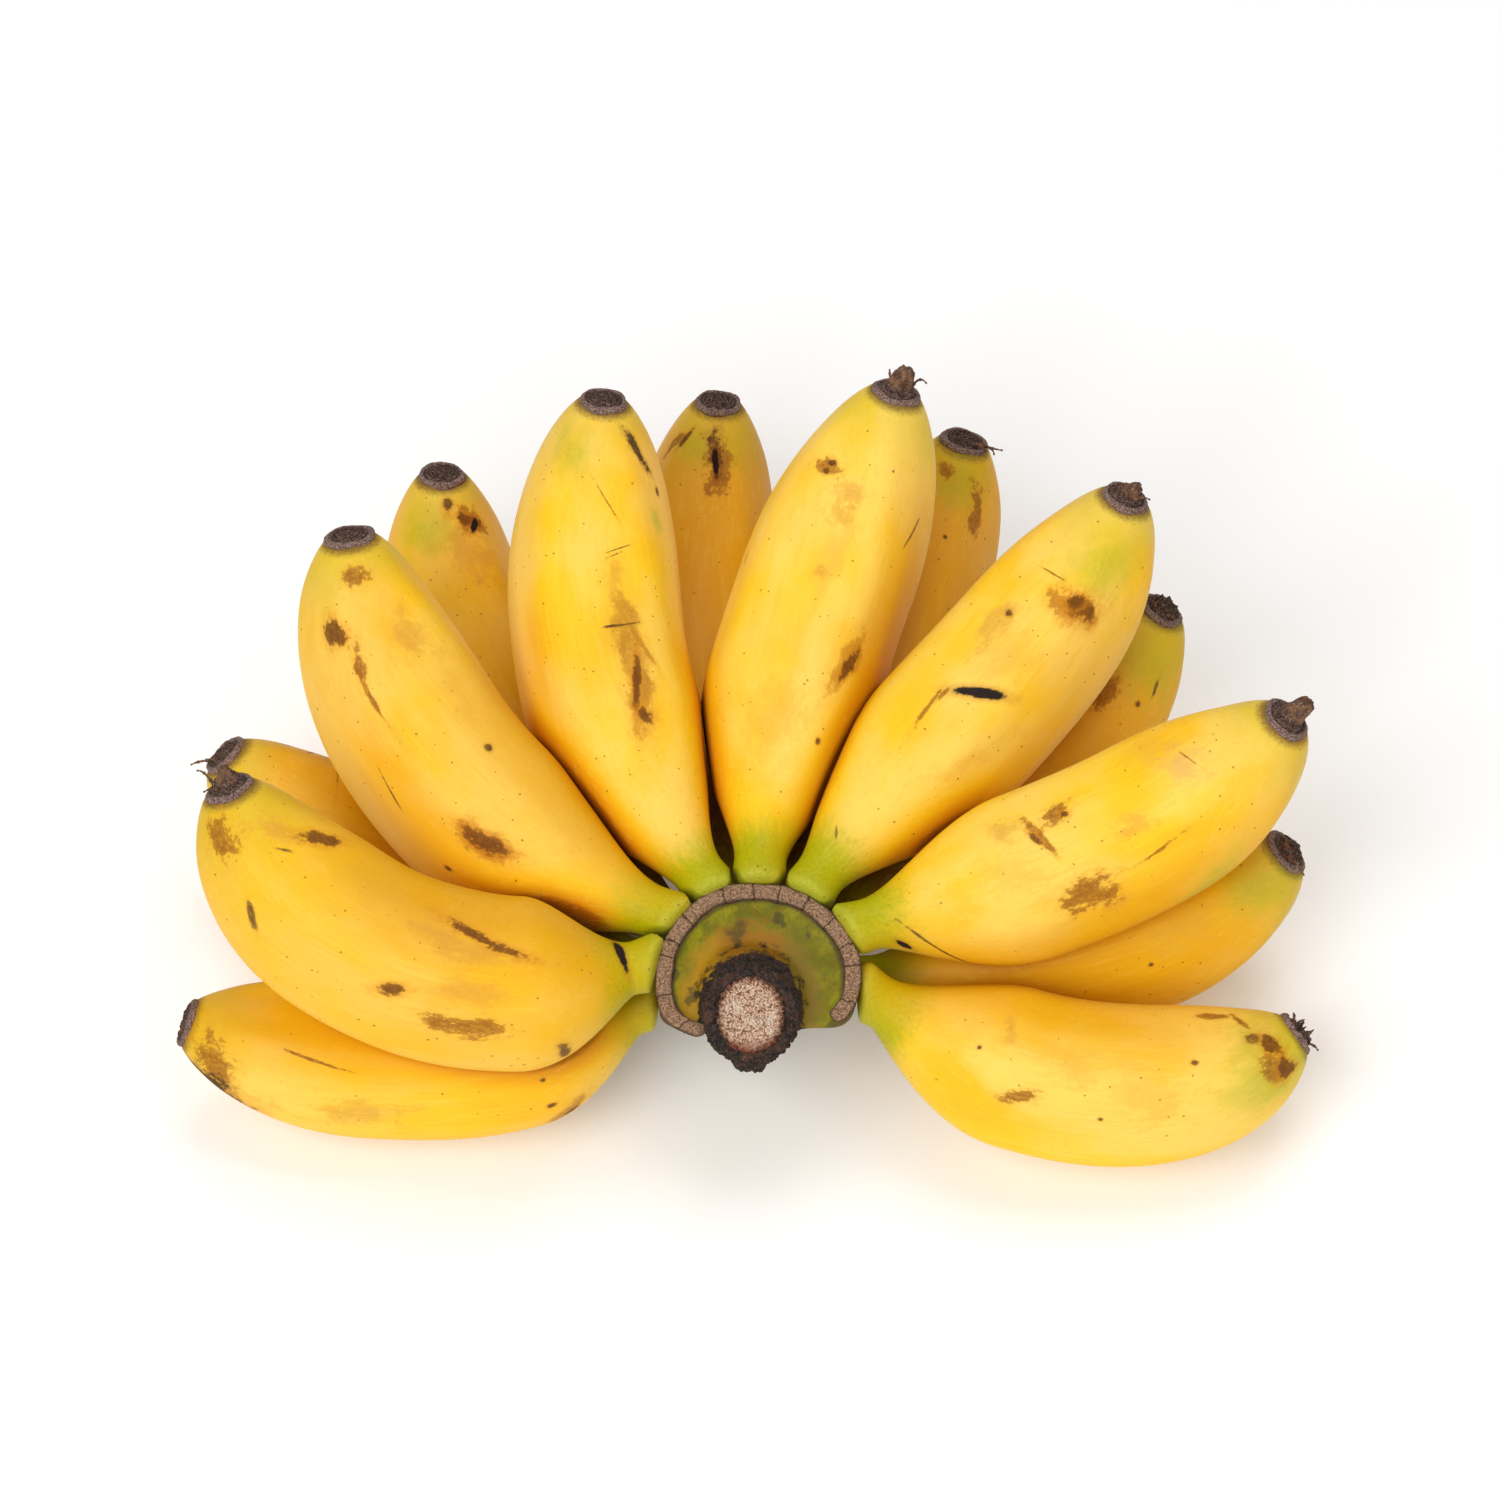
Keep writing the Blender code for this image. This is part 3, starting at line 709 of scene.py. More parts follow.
# kind, mm from the stem, degrees from the top of the fruit, length and width in mm, turn in degrees
marks = {
    "upper_banana_1": [
        ("shade", 48, 20, 55, 16, 8), ("faint", 66, 12, 16, 9, 10), ("tan", 42, -14, 18, 5, 10),
        ("tan", 38, -45, 10, 4, 0), ("rust", 37, -70, 12, 3.6, 0), ("rust", 95, -60, 6, 6, 0),
        ("bruise", 84, 20, 9, 3, -22), ("bruise", 38, -6, 16, 2.2, 18), ("bruise", 52, -54, 5, 2.6, -20),
        ("spot", 21, -100, 5, 1.6, 80), ("scratch", 81, -65, 6, 1.3, 30), ("scratch", 88, -9, 3, 0.7, -30),
        ("gash", 8, -2, 7, 1.5, 80), ("tan", 92, 0, 6, 5, 0),
    ],
    "upper_banana_2": [
        ("shade", 40, 40, 50, 14, 0), ("faint", 70, 20, 18, 4, 10), ("rust", 105, -10, 3, 4, 0),
        ("tan", 88, 10, 10, 6, 0), ("rust", 76, -33, 18, 0.9, 0), ("rust", 86, -30, 8, 2, 10),
        ("bruise", 94, -43, 5.5, 4.2, 0), ("stain", 38, -44, 11, 5, 0), ("bruise", 38, -43, 8, 3, 0),
        ("spot", 52, 9, 1.8, 1.3, 0), ("spot", 42, -79, 1.4, 1.1, 0), ("scratch", 60, -62, 9, 0.4, 15),
    ],
    "upper_banana_3": [
        ("green", 105, -20, 9, 7, -20), ("faint", 59, 1, 16, 4, 0), ("tan", 75, 12, 10, 3, 0),
        ("stain", 55, 14, 28, 5.4, 4), ("stain", 42, 10, 16, 4.2, 14), ("bruise", 46, 11, 15, 1.6, 14),
        ("bruise", 37, 9, 4, 2.6, 0), ("stain", 57, 20, 14, 1.2, -14), ("scratch", 61, 13, 6, 0.6, 85),
        ("scratch", 61, 3, 3, 0.4, 85), ("scratch", 82, 19, 6, 0.4, 65), ("scratch", 80, 14, 4, 0.4, 60),
        ("rust", 95, 14, 12, 0.4, -22), ("scab", 106, 60, 9, 1.6, -15), ("spot", 97, 70, 1.8, 1.2, 0),
        ("green", 90, 56, 5, 3, 0),
    ],
    "upper_banana_4": [
        ("shade", 50, 75, 60, 10, 0), ("faint", 75, 14, 20, 4, 5), ("faint", 33, 1, 12, 9, 0),
        ("tan", 93, 12, 6, 4, 60), ("tan", 86, 9, 5, 4, 70), ("tan", 70, 8, 3, 2, 0),
        ("rust", 96, -14, 4.5, 3.4, 90), ("spot", 97.5, -11, 2, 1.2, 60), ("spot", 95, -13, 1.6, 1.4, 0),
        ("stain", 49, 41, 17, 4.4, 14), ("bruise", 49, 42, 10, 2.6, 16), ("scratch", 70, -59, 3.6, 0.7, 0),
        ("scratch", 88, 72, 8, 0.5, 28), ("spot", 30, 40, 1.2, 1, 0),
    ],
    "upper_banana_5": [
        ("green", 97, 40, 12, 9, 30), ("faint", 43, 50, 19, 3, 15), ("faint", 66, 20, 12, 8, 0),
        ("tan", 71, -3, 11, 4, 5), ("rust", 86, 27, 5, 5, 60), ("stain", 86.5, 38, 9, 7.4, 75),
        ("bruise", 87, 39, 6.5, 5.4, 70), ("bruise", 88, 33, 4, 3.4, 0), ("gash", 55, 22, 10.5, 2.4, 50),
        ("rust", 44, 1, 10, 0.9, -5), ("rust", 49, 3, 4, 0.8, 0), ("spot", 75, -1, 1.6, 1.3, 0),
        ("spot", 66, -64, 1.8, 1.3, 0), ("scratch", 13, -3, 2.6, 0.5, -30), ("rust", 90, 5, 5, 0.4, 80),
    ],
    "upper_banana_6": [
        ("shade", 50, 105, 60, 12, 0), ("faint", 34, 30, 12, 5, 10), ("faint", 76, -15, 14, 4, 10),
        ("tan", 36, -4, 6, 4, 10), ("tan", 64, 33, 9, 3, 5), ("tan", 50, 66, 9, 7, 30),
        ("pink", 82, 10, 9, 5, 35), ("rust", 48, 62, 11, 6, 15), ("rust", 42.5, 8, 8, 1.5, 70),
        ("bruise", 41.5, 11, 3, 1.4, 60), ("rust", 48, 0, 6, 3.2, -10), ("bruise", 50, 2, 2, 1.4, 0),
        ("rust", 65, 55, 11, 0.7, -5), ("green", 70, 108, 14, 5, -20), ("scratch", 17, 94, 15, 0.6, 40),
        ("gash", 11, 96, 4, 1.3, 40), ("rust", 84, 10, 6, 0.4, 60),
    ],
    "upper_banana_7": [
        ("shade", 38, -40, 60, 18, 4), ("faint", 46, 27, 8, 6, 0), ("faint", 60, 45, 14, 8, 20),
        ("green", 86, 22, 10, 12, -30), ("rust", 36, 56, 6, 2.6, -27), ("tan", 30, 9, 4, 2.4, 78),
        ("rust", 78, -21, 7, 1.2, 0), ("spot", 71, 23, 1.4, 1, 0), ("spot", 85, 12, 3, 2.2, 0),
        ("spot", 52, 62, 1, 0.8, 0), ("spot", 25, 30, 0.9, 0.8, 0), ("rust", 84, -12, 4, 1.2, 60),
        ("green", 83, 62, 14, 9, 15), ("rust", 86, 48, 6, 4, 70), ("bruise", 87.5, 20, 3, 5, 0),
        ("bruise", 88, 62, 3, 4, 0),
    ],
    "lower_banana_1": [
        ("shade", 50, -20, 70, 12, 0), ("tan", 60, -80, 12, 5, 0), ("rust", 90, -75, 9, 6, 60),
        ("bruise", 86, -122, 14, 4, -35), ("scab", 90, -112, 9, 3.4, -35), ("stain", 24, -109, 7, 3.6, -35),
        ("spot", 23, -112, 3, 2, 0), ("spot", 26, -90, 1.6, 1.2, 0), ("spot", 26, -63, 1.1, 0.9, 0),
        ("rust", 70, -40, 12, 0.5, 10),
    ],
    "lower_banana_2": [
        ("faint", 70, 60, 12, 6, 0), ("tan", 80, 40, 9, 6, 0), ("scratch", 91, 51, 10, 0.5, 130),
        ("rust", 86, 30, 12, 0.5, 60), ("spot", 97, 60, 3.4, 2.2, 0),
    ],
    "lower_banana_3": [
        ("green", 119, -20, 10, 9, 0), ("tan", 112, 20, 12, 8, 0), ("rust", 120.5, 36, 8, 4, 140),
        ("bruise", 121, 32, 6, 2.2, 120), ("gash", 119.5, 37, 3.4, 1.6, 40), ("spot", 125, 10, 2.2, 1.8, 0),
        ("spot", 108, -40, 1.2, 0.9, 0),
    ],
    "lower_banana_4": [
        ("green", 121, 5, 8, 12, 0), ("rust", 119, -48, 8, 2, 20), ("rust", 116, 16, 12, 5, 0),
        ("scab", 119, 14, 10, 2.6, -4), ("gash", 118, 14, 7, 1.4, -4), ("spot", 122, -32, 4.6, 0.9, 16),
    ],
    "lower_banana_5": [
        ("green", 118, 30, 9, 12, 20), ("rust", 112, 60, 10, 3, 0), ("rust", 120, 10, 3, 3, 0),
        ("spot", 105, 30, 1, 0.8, 0),
    ],
    "lower_banana_6": [
        ("green", 99, 40, 13, 24, 0), ("rust", 88, 30, 8, 4, 0), ("spot", 90, 60, 1.6, 1.2, 0),
        ("scratch", 95, 72, 4, 0.7, 0),
    ],
    "lower_banana_7": [
        ("green", 89, 55, 12, 8, 30), ("faint", 70, 40, 16, 8, 0), ("spot", 60, 60, 1, 0.8, 0),
    ],
}


def peelMaterial(name, spec, seed):
    material, tree, shader = newMaterial("peel_" + name, peel["roughness"], peel["specular"])
    shader.inputs["Subsurface Weight"].default_value = peel["glow"]
    shader.inputs["Subsurface Radius"].default_value = peel["glowReach"]
    shader.inputs["Subsurface Scale"].default_value = peel["glowDepth"]
    straight = attribute(tree, "straight")["Vector"]
    shift = tuple(np.random.default_rng(seed).uniform(20, 400, 3))
    # the lower stems under the upper row get painted shade
    shaded = name[:6] == "lower_" and name[-1] in "23456"  # the stems that lie under the upper row
    skin = useGroup(
        tree,
        peelGroup,
        {
            "Straight": straight, "Shift": shift, "Length": float(spec["size"][0]), "Tip Green": peel["tipGreen"],
            "Painted Shade": spec["paintedShade"], "Stem Shade": peel["stemShade"] if shaded else 0.0,
            "Neighbour Shade": attribute(tree, "neighbourShade")["Fac"],
        },
    )
    point = stretch(tree, straight, (1000, 1000, 600), shift)
    noises = (cloud(tree, point, 1.3, 4.0, 0.65), cloud(tree, point, 0.32, 2.0))
    channels = (skin["Color"], skin["Roughness"], skin["Height"])
    for mark in marks[name]:
        channels = addMark(tree, straight, noises, channels, mark)
    colour, rough, height = channels
    dress(tree, shader, colour, height, peel["bump"], peel["bumpDepth"], rough)
    return material


for number, (name, spec) in enumerate(bananas.items()):
    piece = growBanana(name, spec, 40 + number)
    handOver(piece, name, peelMaterial(name, spec, 40 + number))
print("bananas grown")

# the crown
crown = {
    "voxel": 0.5 * mm,
    "smoothing": 40,
    "rimRadius": 18.2,
    "rimWidth": 3.4,
    "rimHeight": 2.4,
    "rimLevel": 1.9,
    "rimStart": 226,
    "rimSweep": 254,
    "rimLength": 80,
    "stalkStart": (-1.4, 1.0, -9.0),
    "stalkRise": 40,
    # level above the rim line, radius and front of the flat side
    "pad": [
        (-31, 9, 3), (-29, 14, 2), (-25, 17.4, 0.5), (-18, 18.6, -2), (-9, 19.2, -5.5),
        (-3, 19.4, -8), (1.2, 19.3, -9.6), (2.2, 18.6, -9.6), (2.3, 17, -9.4), (1.5, 16, -9.0), (1.1, 13, -8.5),
        (0.8, 9, -7.5), (0.5, 4, -4), (0.4, 0.2, -0.2),
    ],
    # length along the stalk and radius
    "neck": [(0, 11.2), (4, 11.2), (8, 11.0), (10.5, 10.7), (12.5, 10.2), (14.5, 9.6), (16, 8.8), (16.2, 0.1)],
    "bark": [
        (9, 9.0), (11, 9.9), (13, 10.0), (15, 9.7), (17, 9.4), (18.3, 9.1), (19.1, 8.5),
        (19.1, 7.6), (18.5, 6.9), (17, 6.6),
    ],
    "cutRadius": 7.9,
    "cutLevel": 18.9,
    # across, depth and size of the dark smudges on the pad
    "smudges": [(-3.6, 9.6, 2.6), (4.2, 12.4, 1.6), (9.5, 9.5, 1.8), (-12.5, -4.0, 2.0), (-16, 1.5, 1.6)],
}
crownTones = {
    "olive": (0.13, 0.125, 0.003), "lime": (0.27, 0.25, 0.004), "moss": (0.14, 0.15, 0.008),
    "brown": (0.19, 0.09, 0.008),
    "scorched": (0.30, 0.13, 0.008), "scorchedLeft": (0.40, 0.21, 0.008), "scorchedRight": (0.20, 0.15, 0.02),
    "ash": (0.035, 0.02, 0.012), "smudge": (0.05, 0.045, 0.015), "rimLine": (0.07, 0.045, 0.015),
    "cork": (0.40, 0.245, 0.145), "corkDark": (0.14, 0.07, 0.035), "corkBrown": (0.30, 0.19, 0.12),
    "crack": (0.04, 0.02, 0.012), "corkEdge": (0.05, 0.028, 0.015),
    "char": (0.010, 0.008, 0.008), "charBrown": (0.065, 0.035, 0.022), "charRed": (0.11, 0.045, 0.022),
    "crumb": (0.30, 0.22, 0.17), "pith": (0.78, 0.55, 0.39), "pithDark": (0.26, 0.11, 0.05),
    "pithPale": (0.80, 0.66, 0.52),
    "pithPore": (0.12, 0.045, 0.02), "pithSpeck": (0.10, 0.04, 0.02), "pithEdge": (0.16, 0.055, 0.022),
    "cutRim": (0.022, 0.012, 0.008), "cutRed": (0.20, 0.03, 0.02),
}
stalkRise = math.radians(crown["stalkRise"])
stalkWay = np.array([0, -math.cos(stalkRise), math.sin(stalkRise)])
stalkUp = np.array([0, math.sin(stalkRise), math.cos(stalkRise)])
stalkFoot = fromPad(np.array(crown["stalkStart"]) * mm)


def aboutStalk(angle, out, along):
    side = (out * np.cos(angle))[:, None] * np.array([1.0, 0, 0]) + (out * np.sin(angle))[:, None] * stalkUp
    return stalkFoot + (side + along[:, None] * stalkWay) * mm


def profile(v, pairs):
    stops = np.linspace(0, 1, len(pairs))
    return [np.interp(v, stops, [pair[k] for pair in pairs]) for k in range(len(pairs[0]))]


def bendPad(angle, v):
    level, out, front = profile(v, crown["pad"])
    across = out * np.cos(angle)
    depth = out * np.sin(angle)
    depth = (depth + front + np.sqrt((depth - front) ** 2 + 3.0 * np.minimum(out / 9, 1))) / 2
    points = fromPad(np.stack([across, depth, level], axis=1) * mm)
    return points, points


def bendNeck(angle, v):
    along, out = profile(v, crown["neck"])
    points = aboutStalk(angle, out * (1 + 0.03 * np.sin(3 * angle + 1)), along)
    return points, points


pad = growTube("crownPad", 72, 60, bendPad)
neck = growTube("crownNeck", 48, 40, bendNeck)
deselectAll()
neck.select_set(True)
pad.select_set(True)
bpy.context.view_layer.objects.active = pad
bpy.ops.object.join()
remesh = pad.modifiers.new("oneSkin", "REMESH")
remesh.mode = "VOXEL"
remesh.voxel_size = crown["voxel"]
relax = pad.modifiers.new("relax", "SMOOTH")
relax.factor = 0.6
relax.iterations = crown["smoothing"]
pickOnly(pad)
bpy.ops.object.modifier_apply(modifier="oneSkin")
bpy.ops.object.modifier_apply(modifier="relax")
points = readPoints(pad)
lift = 0.25 * wobble(points, 0.011, 3) + 0.1 * wobble(points, 0.004, 4)
points += lift[:, None] * mm * padAxes[2]
writePoints(pad, points)
storeVectors(pad, "straight", (points - crownCentre) @ padAxes.T)
bpy.ops.object.shade_smooth()


def padMaterial():
    material, tree, shader = newMaterial("crownSkin", 0.6, 0.15)
    tones = crownTones
    point = inMillimetres(tree, attribute(tree, "straight")["Vector"])
    x, depth, level = place(tree, "ShaderNodeSeparateXYZ", {0: point}).outputs
    broad = cloud(tree, point, 0.16, 3.0)
    grain = cloud(tree, point, 1.4, 4.0, 0.7)
    mottle = cloud(tree, stretch(tree, point, (1, 1, 1), (30, 5, 9)), 0.33, 4.0, 0.6)
    colour = blendColour(tree, fade(tree, broad, 0.35, 0.65), tones["olive"], tones["lime"])
    colour = paint(tree, colour, tones, [
        ("moss", fade(tree, mottle, 0.50, 0.64, 0.0, 0.65)),
        ("brown", fade(tree, grain, 0.46, 0.66, 0.0, 0.65)),
    ])
    # distance from the stalk's middle line, in its own axes
    startX, startDepth, startLevel = crown["stalkStart"]
    slant = math.radians(30)
    down = plus(
        tree,
        times(tree, minus(tree, depth, startDepth), math.cos(slant)),
        times(tree, minus(tree, level, startLevel), math.sin(slant)),
    )
    sideways = minus(tree, x, startX)
    far = shifted(tree, distance(tree, sideways, down), mottle, 7.0)
    ochre = blendColour(tree, fade(tree, sideways, -4.0, -8.0), tones["scorched"], tones["scorchedLeft"])
    ochre = blendColour(tree, fade(tree, sideways, 4.0, 9.0, 0.0, 0.75), ochre, tones["scorchedRight"])
    colour = blendColour(tree, fade(tree, far, 16.0, 12.3, 0.0, 0.95), colour, ochre)
    ash = fade(tree, plus(tree, far, times(tree, grain, 2.0)), 12.2, 10.6)
    colour = blendColour(tree, ash, colour, tones["ash"])
    for smudgeX, smudgeDepth, size in crown["smudges"]:
        near = distance(tree, minus(tree, x, smudgeX), minus(tree, depth, smudgeDepth))
        smudge = fade(tree, shifted(tree, near, mottle, 9.0), size, size * 0.3, 0.0, 0.7)
        colour = blendColour(tree, smudge, colour, tones["smudge"])
    colour = blendColour(tree, fade(tree, distance(tree, x, depth), 15.6, 16.6, 0.0, 0.8), colour, tones["rimLine"])
    dress(tree, shader, colour, grain, 0.45, 0.4 * mm, fade(tree, ash, 0.0, 1.0, 0.48, 0.9))
    return material


handOver(pad, "crown", padMaterial())


def bendRim(angle, v):
    # round the D from its left end, over the back, to its right end
    turn = np.radians(crown["rimStart"] - crown["rimSweep"] * v)
    degrees = np.degrees(turn)
    out = crown["rimRadius"] + 0.25 * np.sin(3 * turn + 1) + 0.15 * np.sin(7 * turn)
    out = out + 0.5 * smoothStep((degrees - 170) / 20) - 4.3 * smoothStep((degrees - 198) / 30)
    out = out - 1.3 * smoothStep((-10 - degrees) / 20)
    taper = np.sqrt(np.clip(np.minimum(v, 1 - v) / 0.012, 0.003, 1))
    # a flat band with rounded shoulders
    wide, high = (np.sign(wave) * np.abs(wave) ** 0.6 for wave in (np.cos(angle), np.sin(angle)))
    wide = wide * crown["rimWidth"] / 2
    high = high * crown["rimHeight"] / 2
    wide = wide * (1 + 0.08 * np.sin(11 * turn) + 0.05 * np.sin(23 * turn + 2))
    out = out + wide * taper
    points = np.stack([out * np.cos(turn), out * np.sin(turn), crown["rimLevel"] + high * taper], axis=1)
    roughness = 0.10 * wobble(points, 0.9, 7) + 0.06 * wobble(points, 0.45, 8) + 0.14 * wobble(points, 4, 9)
    points[:, 2] += roughness
    return fromPad(points * mm), np.stack([wide, high, v * crown["rimLength"]], axis=1) * mm


def corkMaterial():
    material, tree, shader = newMaterial("corkRim", 0.85, 0.2)
    tones = crownTones
    wide, _, run = place(
        tree, "ShaderNodeSeparateXYZ", {0: inMillimetres(tree, attribute(tree, "straight")["Vector"])}
    ).outputs
    spot = objectPoint(tree)
    grain = cloud(tree, spot, 2.4, 3.0, 0.75)
    patches = cloud(tree, spot, 0.4, 2.0)
    colour = blendColour(tree, fade(tree, grain, 0.40, 0.62), tones["corkDark"], tones["cork"])
    colour = blendColour(tree, fade(tree, patches, 0.45, 0.7, 0.0, 0.4), colour, tones["corkBrown"])
    # cracks across the band at uneven steps, and dark edges
    lane = plus(tree, run, times(tree, cloud(tree, spot, 0.8, 2.0), 1.2))
    cracks = place(
        tree, "ShaderNodeTexVoronoi", {"W": lane, "Scale": 0.17},
        feature="DISTANCE_TO_EDGE", voronoi_dimensions="1D",
    ).outputs["Distance"]
    crack = fade(tree, cracks, 0.035, 0.012)
    colour = blendColour(tree, times(tree, crack, 0.8), colour, tones["crack"])
    edge = fade(tree, calc(tree, "ABSOLUTE", wide), 1.25, 1.62, 0.0, 0.75)
    colour = blendColour(tree, edge, colour, tones["corkEdge"])
    height = minus(tree, times(tree, grain, 0.6), crack)
    dress(tree, shader, colour, height, 0.7, 0.4 * mm)
    return material


rim = growTube("crownRim", 24, 380, bendRim)
handOver(rim, None, corkMaterial())


def bendBark(angle, v):
    along, out = profile(v, crown["bark"])
    # oval, taller than wide, and drawn out to a torn point underneath
    below = np.clip(-np.sin(angle), 0, 1)
    out = out * (1 + 0.05 * np.sin(angle) ** 2)
    torn = 1.7 * below**10 * smoothStep((along - 13) / 5) * (1 - smoothStep((v - 0.62) / 0.2))
    flat = aboutStalk(angle, out + torn, along)
    bumps = 0.42 * wobble(flat, 0.0030, 11) + 0.22 * wobble(flat, 0.0014, 12) + 0.12 * wobble(flat, 0.0007, 13)
    bumps = bumps * smoothStep(v / 0.25)
    return aboutStalk(angle, out + torn + bumps, along + 0.5 * bumps), flat


def charMaterial():
    material, tree, shader = newMaterial("charredBark", 0.8, 0.3)
    tones = crownTones
    point = objectPoint(tree)
    grain = cloud(tree, point, 1.5, 4.0, 0.7)
    crumbs = cloud(tree, point, 3.2, 2.0, 0.6)
    patches = cloud(tree, point, 0.30, 3.0, 0.6)
    colour = blendColour(tree, fade(tree, grain, 0.42, 0.62), tones["char"], tones["charBrown"])
    colour = paint(tree, colour, tones, [
        ("charRed", fade(tree, patches, 0.52, 0.7, 0.0, 0.7)),
        ("crumb", fade(tree, crumbs, 0.64, 0.72, 0.0, 0.5)),
    ])
    height = plus(tree, grain, times(tree, crumbs, 0.4))
    dress(tree, shader, colour, height, 0.9, 0.6 * mm)
    return material


bark = growTube("stalkBark", 160, 110, bendBark)
handOver(bark, None, charMaterial())


def bendFace(angle, v):
    out = crown["cutRadius"] * (1 - v) + 0.02
    oval = 1 + 0.12 * np.sin(angle) ** 2 - 0.07 * np.cos(angle) ** 2
    flat = aboutStalk(angle, out * oval, crown["cutLevel"] - 0.6 * (1 - v) ** 6)
    bumps = 0.16 * wobble(flat, 0.0016, 21) + 0.10 * wobble(flat, 0.0008, 22)
    straight = np.stack([out * np.cos(angle), out * np.sin(angle), v], axis=1) * mm
    return flat + (bumps * mm)[:, None] * stalkWay, straight


def cutMaterial():
    material, tree, shader = newMaterial("stalkCut", 0.85, 0.2)
    tones = crownTones
    point = stretch(tree, attribute(tree, "straight")["Vector"], (1000, 1000, 0))
    x, y, _ = place(tree, "ShaderNodeSeparateXYZ", {0: point}).outputs
    grain = cloud(tree, point, 2.6, 3.0, 0.8)
    pores = cloud(tree, stretch(tree, point, (1, 1, 1), (11, 4, 0)), 1.3, 3.0, 0.7)
    pale = fade(tree, cloud(tree, point, 0.35, 3.0, 0.6), 0.5, 0.65, 0.0, 0.6)
    colour = blendColour(tree, fade(tree, grain, 0.42, 0.55), tones["pithDark"], tones["pith"])
    colour = paint(tree, colour, tones, [
        ("pithPore", fade(tree, pores, 0.53, 0.60, 0.0, 0.9)),
        ("pithPale", pale),
        ("pithSpeck", fade(tree, grain, 0.44, 0.40, 0.0, 0.7)),
    ])
    ragged = shifted(tree, distance(tree, x, y), pores, 3.6)
    colour = paint(tree, colour, tones, [
        ("pithEdge", fade(tree, ragged, 5.2, 6.6, 0.0, 0.85)),
        ("cutRim", fade(tree, ragged, 6.3, 7.2)),
    ])
    low = times(tree, fade(tree, y, -3.5, -6.0, 0.0, 0.7), fade(tree, grain, 0.42, 0.55))
    colour = blendColour(tree, low, colour, tones["cutRed"])
    height = minus(tree, grain, times(tree, pores, 0.6))
    dress(tree, shader, colour, height, 0.8, 0.5 * mm)
    return material


face = growTube("stalkCut", 96, 48, bendFace)
handOver(face, None, cutMaterial())
print("crown made")

# the dried flower ends: (height, radius) from the collar's edge to the middle, in mm
collar = [(-0.9, 4.2), (-0.5, 4.75), (0.1, 4.95), (0.6, 4.8), (0.9, 4.4), (0.9, 4.0), (0.6, 3.7)]
flowerShapes = {
    "rings": collar + [
        (0.75, 3.4), (1.05, 3.05), (0.75, 2.7), (0.85, 2.4), (1.2, 2.0), (0.95, 1.6), (1.2, 1.1), (1.1, 0.05)
    ],
    "finger": collar + [
        (0.8, 3.4), (1.3, 3.1), (2.1, 2.5), (3.1, 2.1), (4.4, 2.0), (5.6, 1.7), (6.2, 1.2), (6.5, 0.05)
    ],
    "spike": collar + [
        (0.9, 3.3), (1.5, 2.9), (2.4, 2.3), (3.2, 1.6), (4.0, 1.1), (4.7, 0.7), (5.0, 0.4), (5.1, 0.05)
    ],
    "torn": collar + [
        (0.7, 3.4), (1.5, 3.0), (1.7, 2.5), (1.3, 2.1), (1.9, 1.7), (2.0, 1.2), (1.5, 0.7), (1.2, 0.05)
    ],
}
# roughness in mm, lean (sideways, upwards), and threads: where in degrees, length in mm, spread, curl in degrees
flowers = {
    "upper_banana_1": {"shape": "spike", "rough": 0.2, "lean": (0.1, 0),
                      "threads": [(200, 6.0, 0.1, 60), (160, 4.0, 0.4, 30)]},
    "upper_banana_2": {"shape": "rings", "rough": 0.12},
    "upper_banana_3": {"shape": "rings", "rough": 0.12},
    "upper_banana_4": {"shape": "finger", "rough": 0.12, "lean": (0.08, 0),
                      "threads": [(200, 3.4, 0.5, 40), (320, 6.0, 0.15, 60)]},
    "upper_banana_5": {"shape": "spike", "rough": 0.25, "lean": (0.35, 0),
                      "threads": [(20, 4.8, 0.3, -60), (60, 4.4, 0.2, 40)]},
    "upper_banana_6": {"shape": "finger", "rough": 0.14, "lean": (0.0, -0.25)},
    "upper_banana_7": {"shape": "torn", "rough": 0.7,
                      "threads": [(40, 3.8, 0.4, 30), (110, 3.4, 0.6, -40), (330, 3.2, 0.5, 40)]},
    "lower_banana_1": {"shape": "rings", "rough": 0.2, "threads": [(150, 2.6, 0.8, 20)]},
    "lower_banana_2": {"shape": "rings", "rough": 0.2, "threads": [(230, 5.0, 0.6, 40)]},
    "lower_banana_3": {"shape": "rings", "rough": 0.3},
    "lower_banana_4": {"shape": "rings", "rough": 0.22},
    "lower_banana_5": {"shape": "rings", "rough": 0.2,
                      "threads": [(0, 6.5, 0.7, 60), (350, 4.5, 0.9, -40), (20, 5.0, 0.6, 20)]},
    "lower_banana_6": {"shape": "torn", "rough": 0.5, "threads": [(90, 3.4, 0.4, 60), (20, 3.0, 0.6, -30)]},
    "lower_banana_7": {"shape": "torn", "rough": 0.35,
                      "threads": [(60, 8.5, 0.45, -50), (30, 7.5, 0.6, -60), (75, 6.0, 0.3, 30)]},
}
thread = {"around": 10, "along": 24, "root": 0.42, "tip": 0.15}
flowerTones = {
    "dark": (0.028, 0.014, 0.010), "brown": (0.12, 0.062, 0.042), "ring": (0.20, 0.12, 0.09),
    "stub": (0.10, 0.05, 0.028),
    "stubPale": (0.24, 0.12, 0.06), "collar": (0.085, 0.045, 0.035), "collarPale": (0.33, 0.215, 0.175),
    "fleck": (0.55, 0.44, 0.38), "seam": (0.06, 0.03, 0.018),
}


def endFrame(spec):
    spine = spec["spine"]
    way = unit(spine[-1] - spine[-3])
    return spine[-1], *crossways(way), way


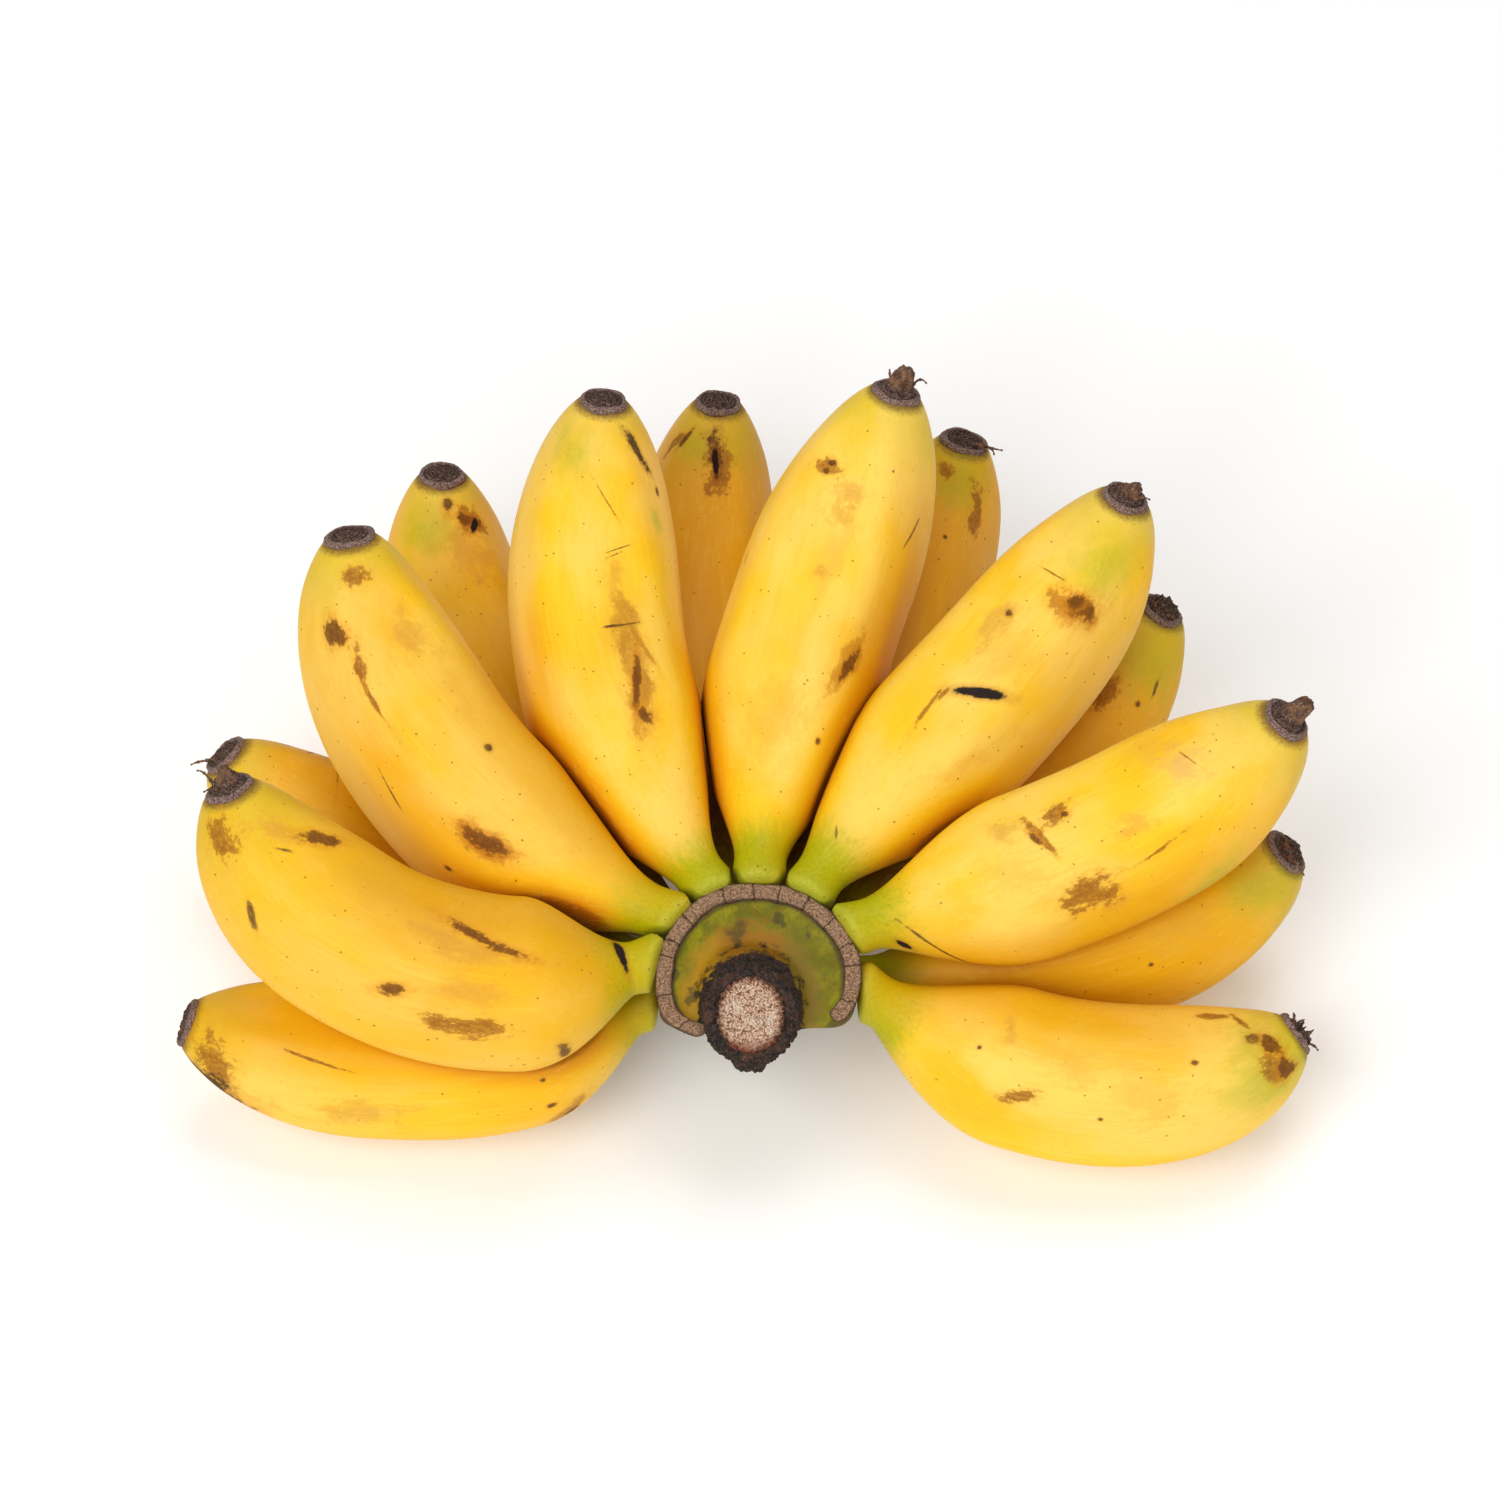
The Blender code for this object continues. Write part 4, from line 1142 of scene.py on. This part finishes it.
def growThread(name, path):
    # a thin tapering tube along a smooth curve through four points
    stops = np.linspace(0, 1, len(path))
    curve = [np.polyfit(stops, np.array(path)[:, k], 3) for k in range(3)]

    def bend(angle, v):
        middle, ahead = (np.stack([np.polyval(part, at) for part in curve], axis=1) for at in (v, v + 0.02))
        side, up = crossways(unit(ahead - middle), (0.31, 0.17, 0.93))
        knots = 1 + 0.25 * np.sin(17 * v + 3) + 0.2 * np.sin(41 * v)
        out = (thread["root"] * (1 - v) + thread["tip"] * v) * knots * mm
        points = middle + out[:, None] * (np.cos(angle)[:, None] * side + np.sin(angle)[:, None] * up)
        return points, np.stack([np.cos(angle) * 2, np.sin(angle) * 2, 3 + v], axis=1) * mm

    return growTube(name, thread["around"], thread["along"], bend)


def growFlower(name, spec, seed):
    flower = flowers[name]
    lean = flower.get("lean", (0, 0))
    end, side, up, way = endFrame(spec)
    rng = np.random.default_rng(seed)
    start = rng.uniform(0, 6.3, 6)

    def bend(angle, v):
        high, out = profile(v, flowerShapes[flower["shape"]])
        inner = smoothStep((3.9 - out) / 1.5)
        oval = 1 + 0.05 * np.sin(2 * angle + start[0]) + 0.025 * np.sin(5 * angle + start[1])
        ribs = 0.10 * np.sin(5 * angle + start[2] + 0.2 * high) + 0.06 * np.sin(9 * angle + start[3])
        out = out * oval * (1 + inner * ribs)
        flat = np.stack([out * np.cos(angle), out * np.sin(angle), high], axis=1)
        crumble = wobble(flat, 1.6, seed) * (0.3 + inner) + 0.5 * wobble(flat, 0.7, seed + 1) * (0.4 + inner)
        high = high + flower["rough"] * crumble + 0.12 * np.sin(3 * angle + start[4]) * (1 - inner)
        climb = np.maximum(high - 0.8, 0) * inner
        across = out * np.cos(angle) + lean[0] * climb
        upward = out * np.sin(angle) + lean[1] * climb
        points = end + (across[:, None] * side + upward[:, None] * up + high[:, None] * way) * mm
        return points, flat * mm

    piece = growTube("dried_" + name, 72, 72, bend)
    pieces = [piece]
    for number, (where, length, spread, curl) in enumerate(flower.get("threads", [])):
        a = math.radians(where)
        out = math.cos(a) * side + math.sin(a) * up
        curlWay = math.cos(a + math.radians(curl)) * side + math.sin(a + math.radians(curl)) * up
        # each point: share of the spread, distance outwards, share of the length, share of the curl
        path = [end + (2.2 * out + 0.6 * way) * mm]
        for spreads, start, rises, curls in ((0.4, 0.8, 0.45, 0), (0.8, 0.9, 0.75, 0.15), (1, 0.9, 0.8, 0.45)):
            outward = (2.4 + spread * length * spreads) * out
            onward = (start + rises * length * (1 - spread)) * way
            path.append(end + (outward + onward + curls * length * curlWay) * mm)
        pieces.append(growThread("thread_" + name + "_" + str(number), path))
    deselectAll()
    for part in pieces:
        part.select_set(True)
    bpy.context.view_layer.objects.active = piece
    if len(pieces) > 1:
        bpy.ops.object.join()
    return piece


def flowerMaterial():
    material, tree, shader = newMaterial("driedFlower", 0.85, 0.25)
    tones = flowerTones
    point = inMillimetres(tree, attribute(tree, "straight")["Vector"])
    x, y, high = place(tree, "ShaderNodeSeparateXYZ", {0: point}).outputs
    spot = objectPoint(tree)
    grain = cloud(tree, spot, 2.6, 3.0, 0.75)
    patches = cloud(tree, spot, 0.6, 3.0)
    out = distance(tree, x, y)
    rings = calc(tree, "SINE", plus(tree, times(tree, out, 7.5), times(tree, patches, 5.0)))
    inside = blendColour(tree, fade(tree, grain, 0.42, 0.62), tones["dark"], tones["brown"])
    inside = blendColour(tree, fade(tree, rings, 0.2, 0.9, 0.0, 0.4), inside, tones["ring"])
    stub = blendColour(tree, fade(tree, patches, 0.4, 0.65), tones["stub"], tones["stubPale"])
    inside = blendColour(tree, fade(tree, high, 1.6, 3.0, 0.0, 0.85), inside, stub)
    collarTone = blendColour(tree, fade(tree, grain, 0.40, 0.60), tones["collar"], tones["collarPale"])
    colour = blendColour(tree, fade(tree, out, 3.5, 4.0), inside, collarTone)
    fleck = fade(tree, cloud(tree, spot, 3.6, 1.0), 0.64, 0.70, 0.0, 0.6)
    colour = paint(tree, colour, tones, [
        ("fleck", fleck),
        ("seam", fade(tree, high, -0.15, -0.6, 0.0, 0.8)),
    ])
    height = plus(tree, grain, times(tree, rings, 0.25))
    dress(tree, shader, colour, height, 0.8, 0.4 * mm)
    return material


dried = flowerMaterial()
for number, (name, spec) in enumerate(bananas.items()):
    piece = growFlower(name, spec, 70 + number)
    handOver(piece, name.replace("banana", "flower_end"), dried)
print("flower ends made")
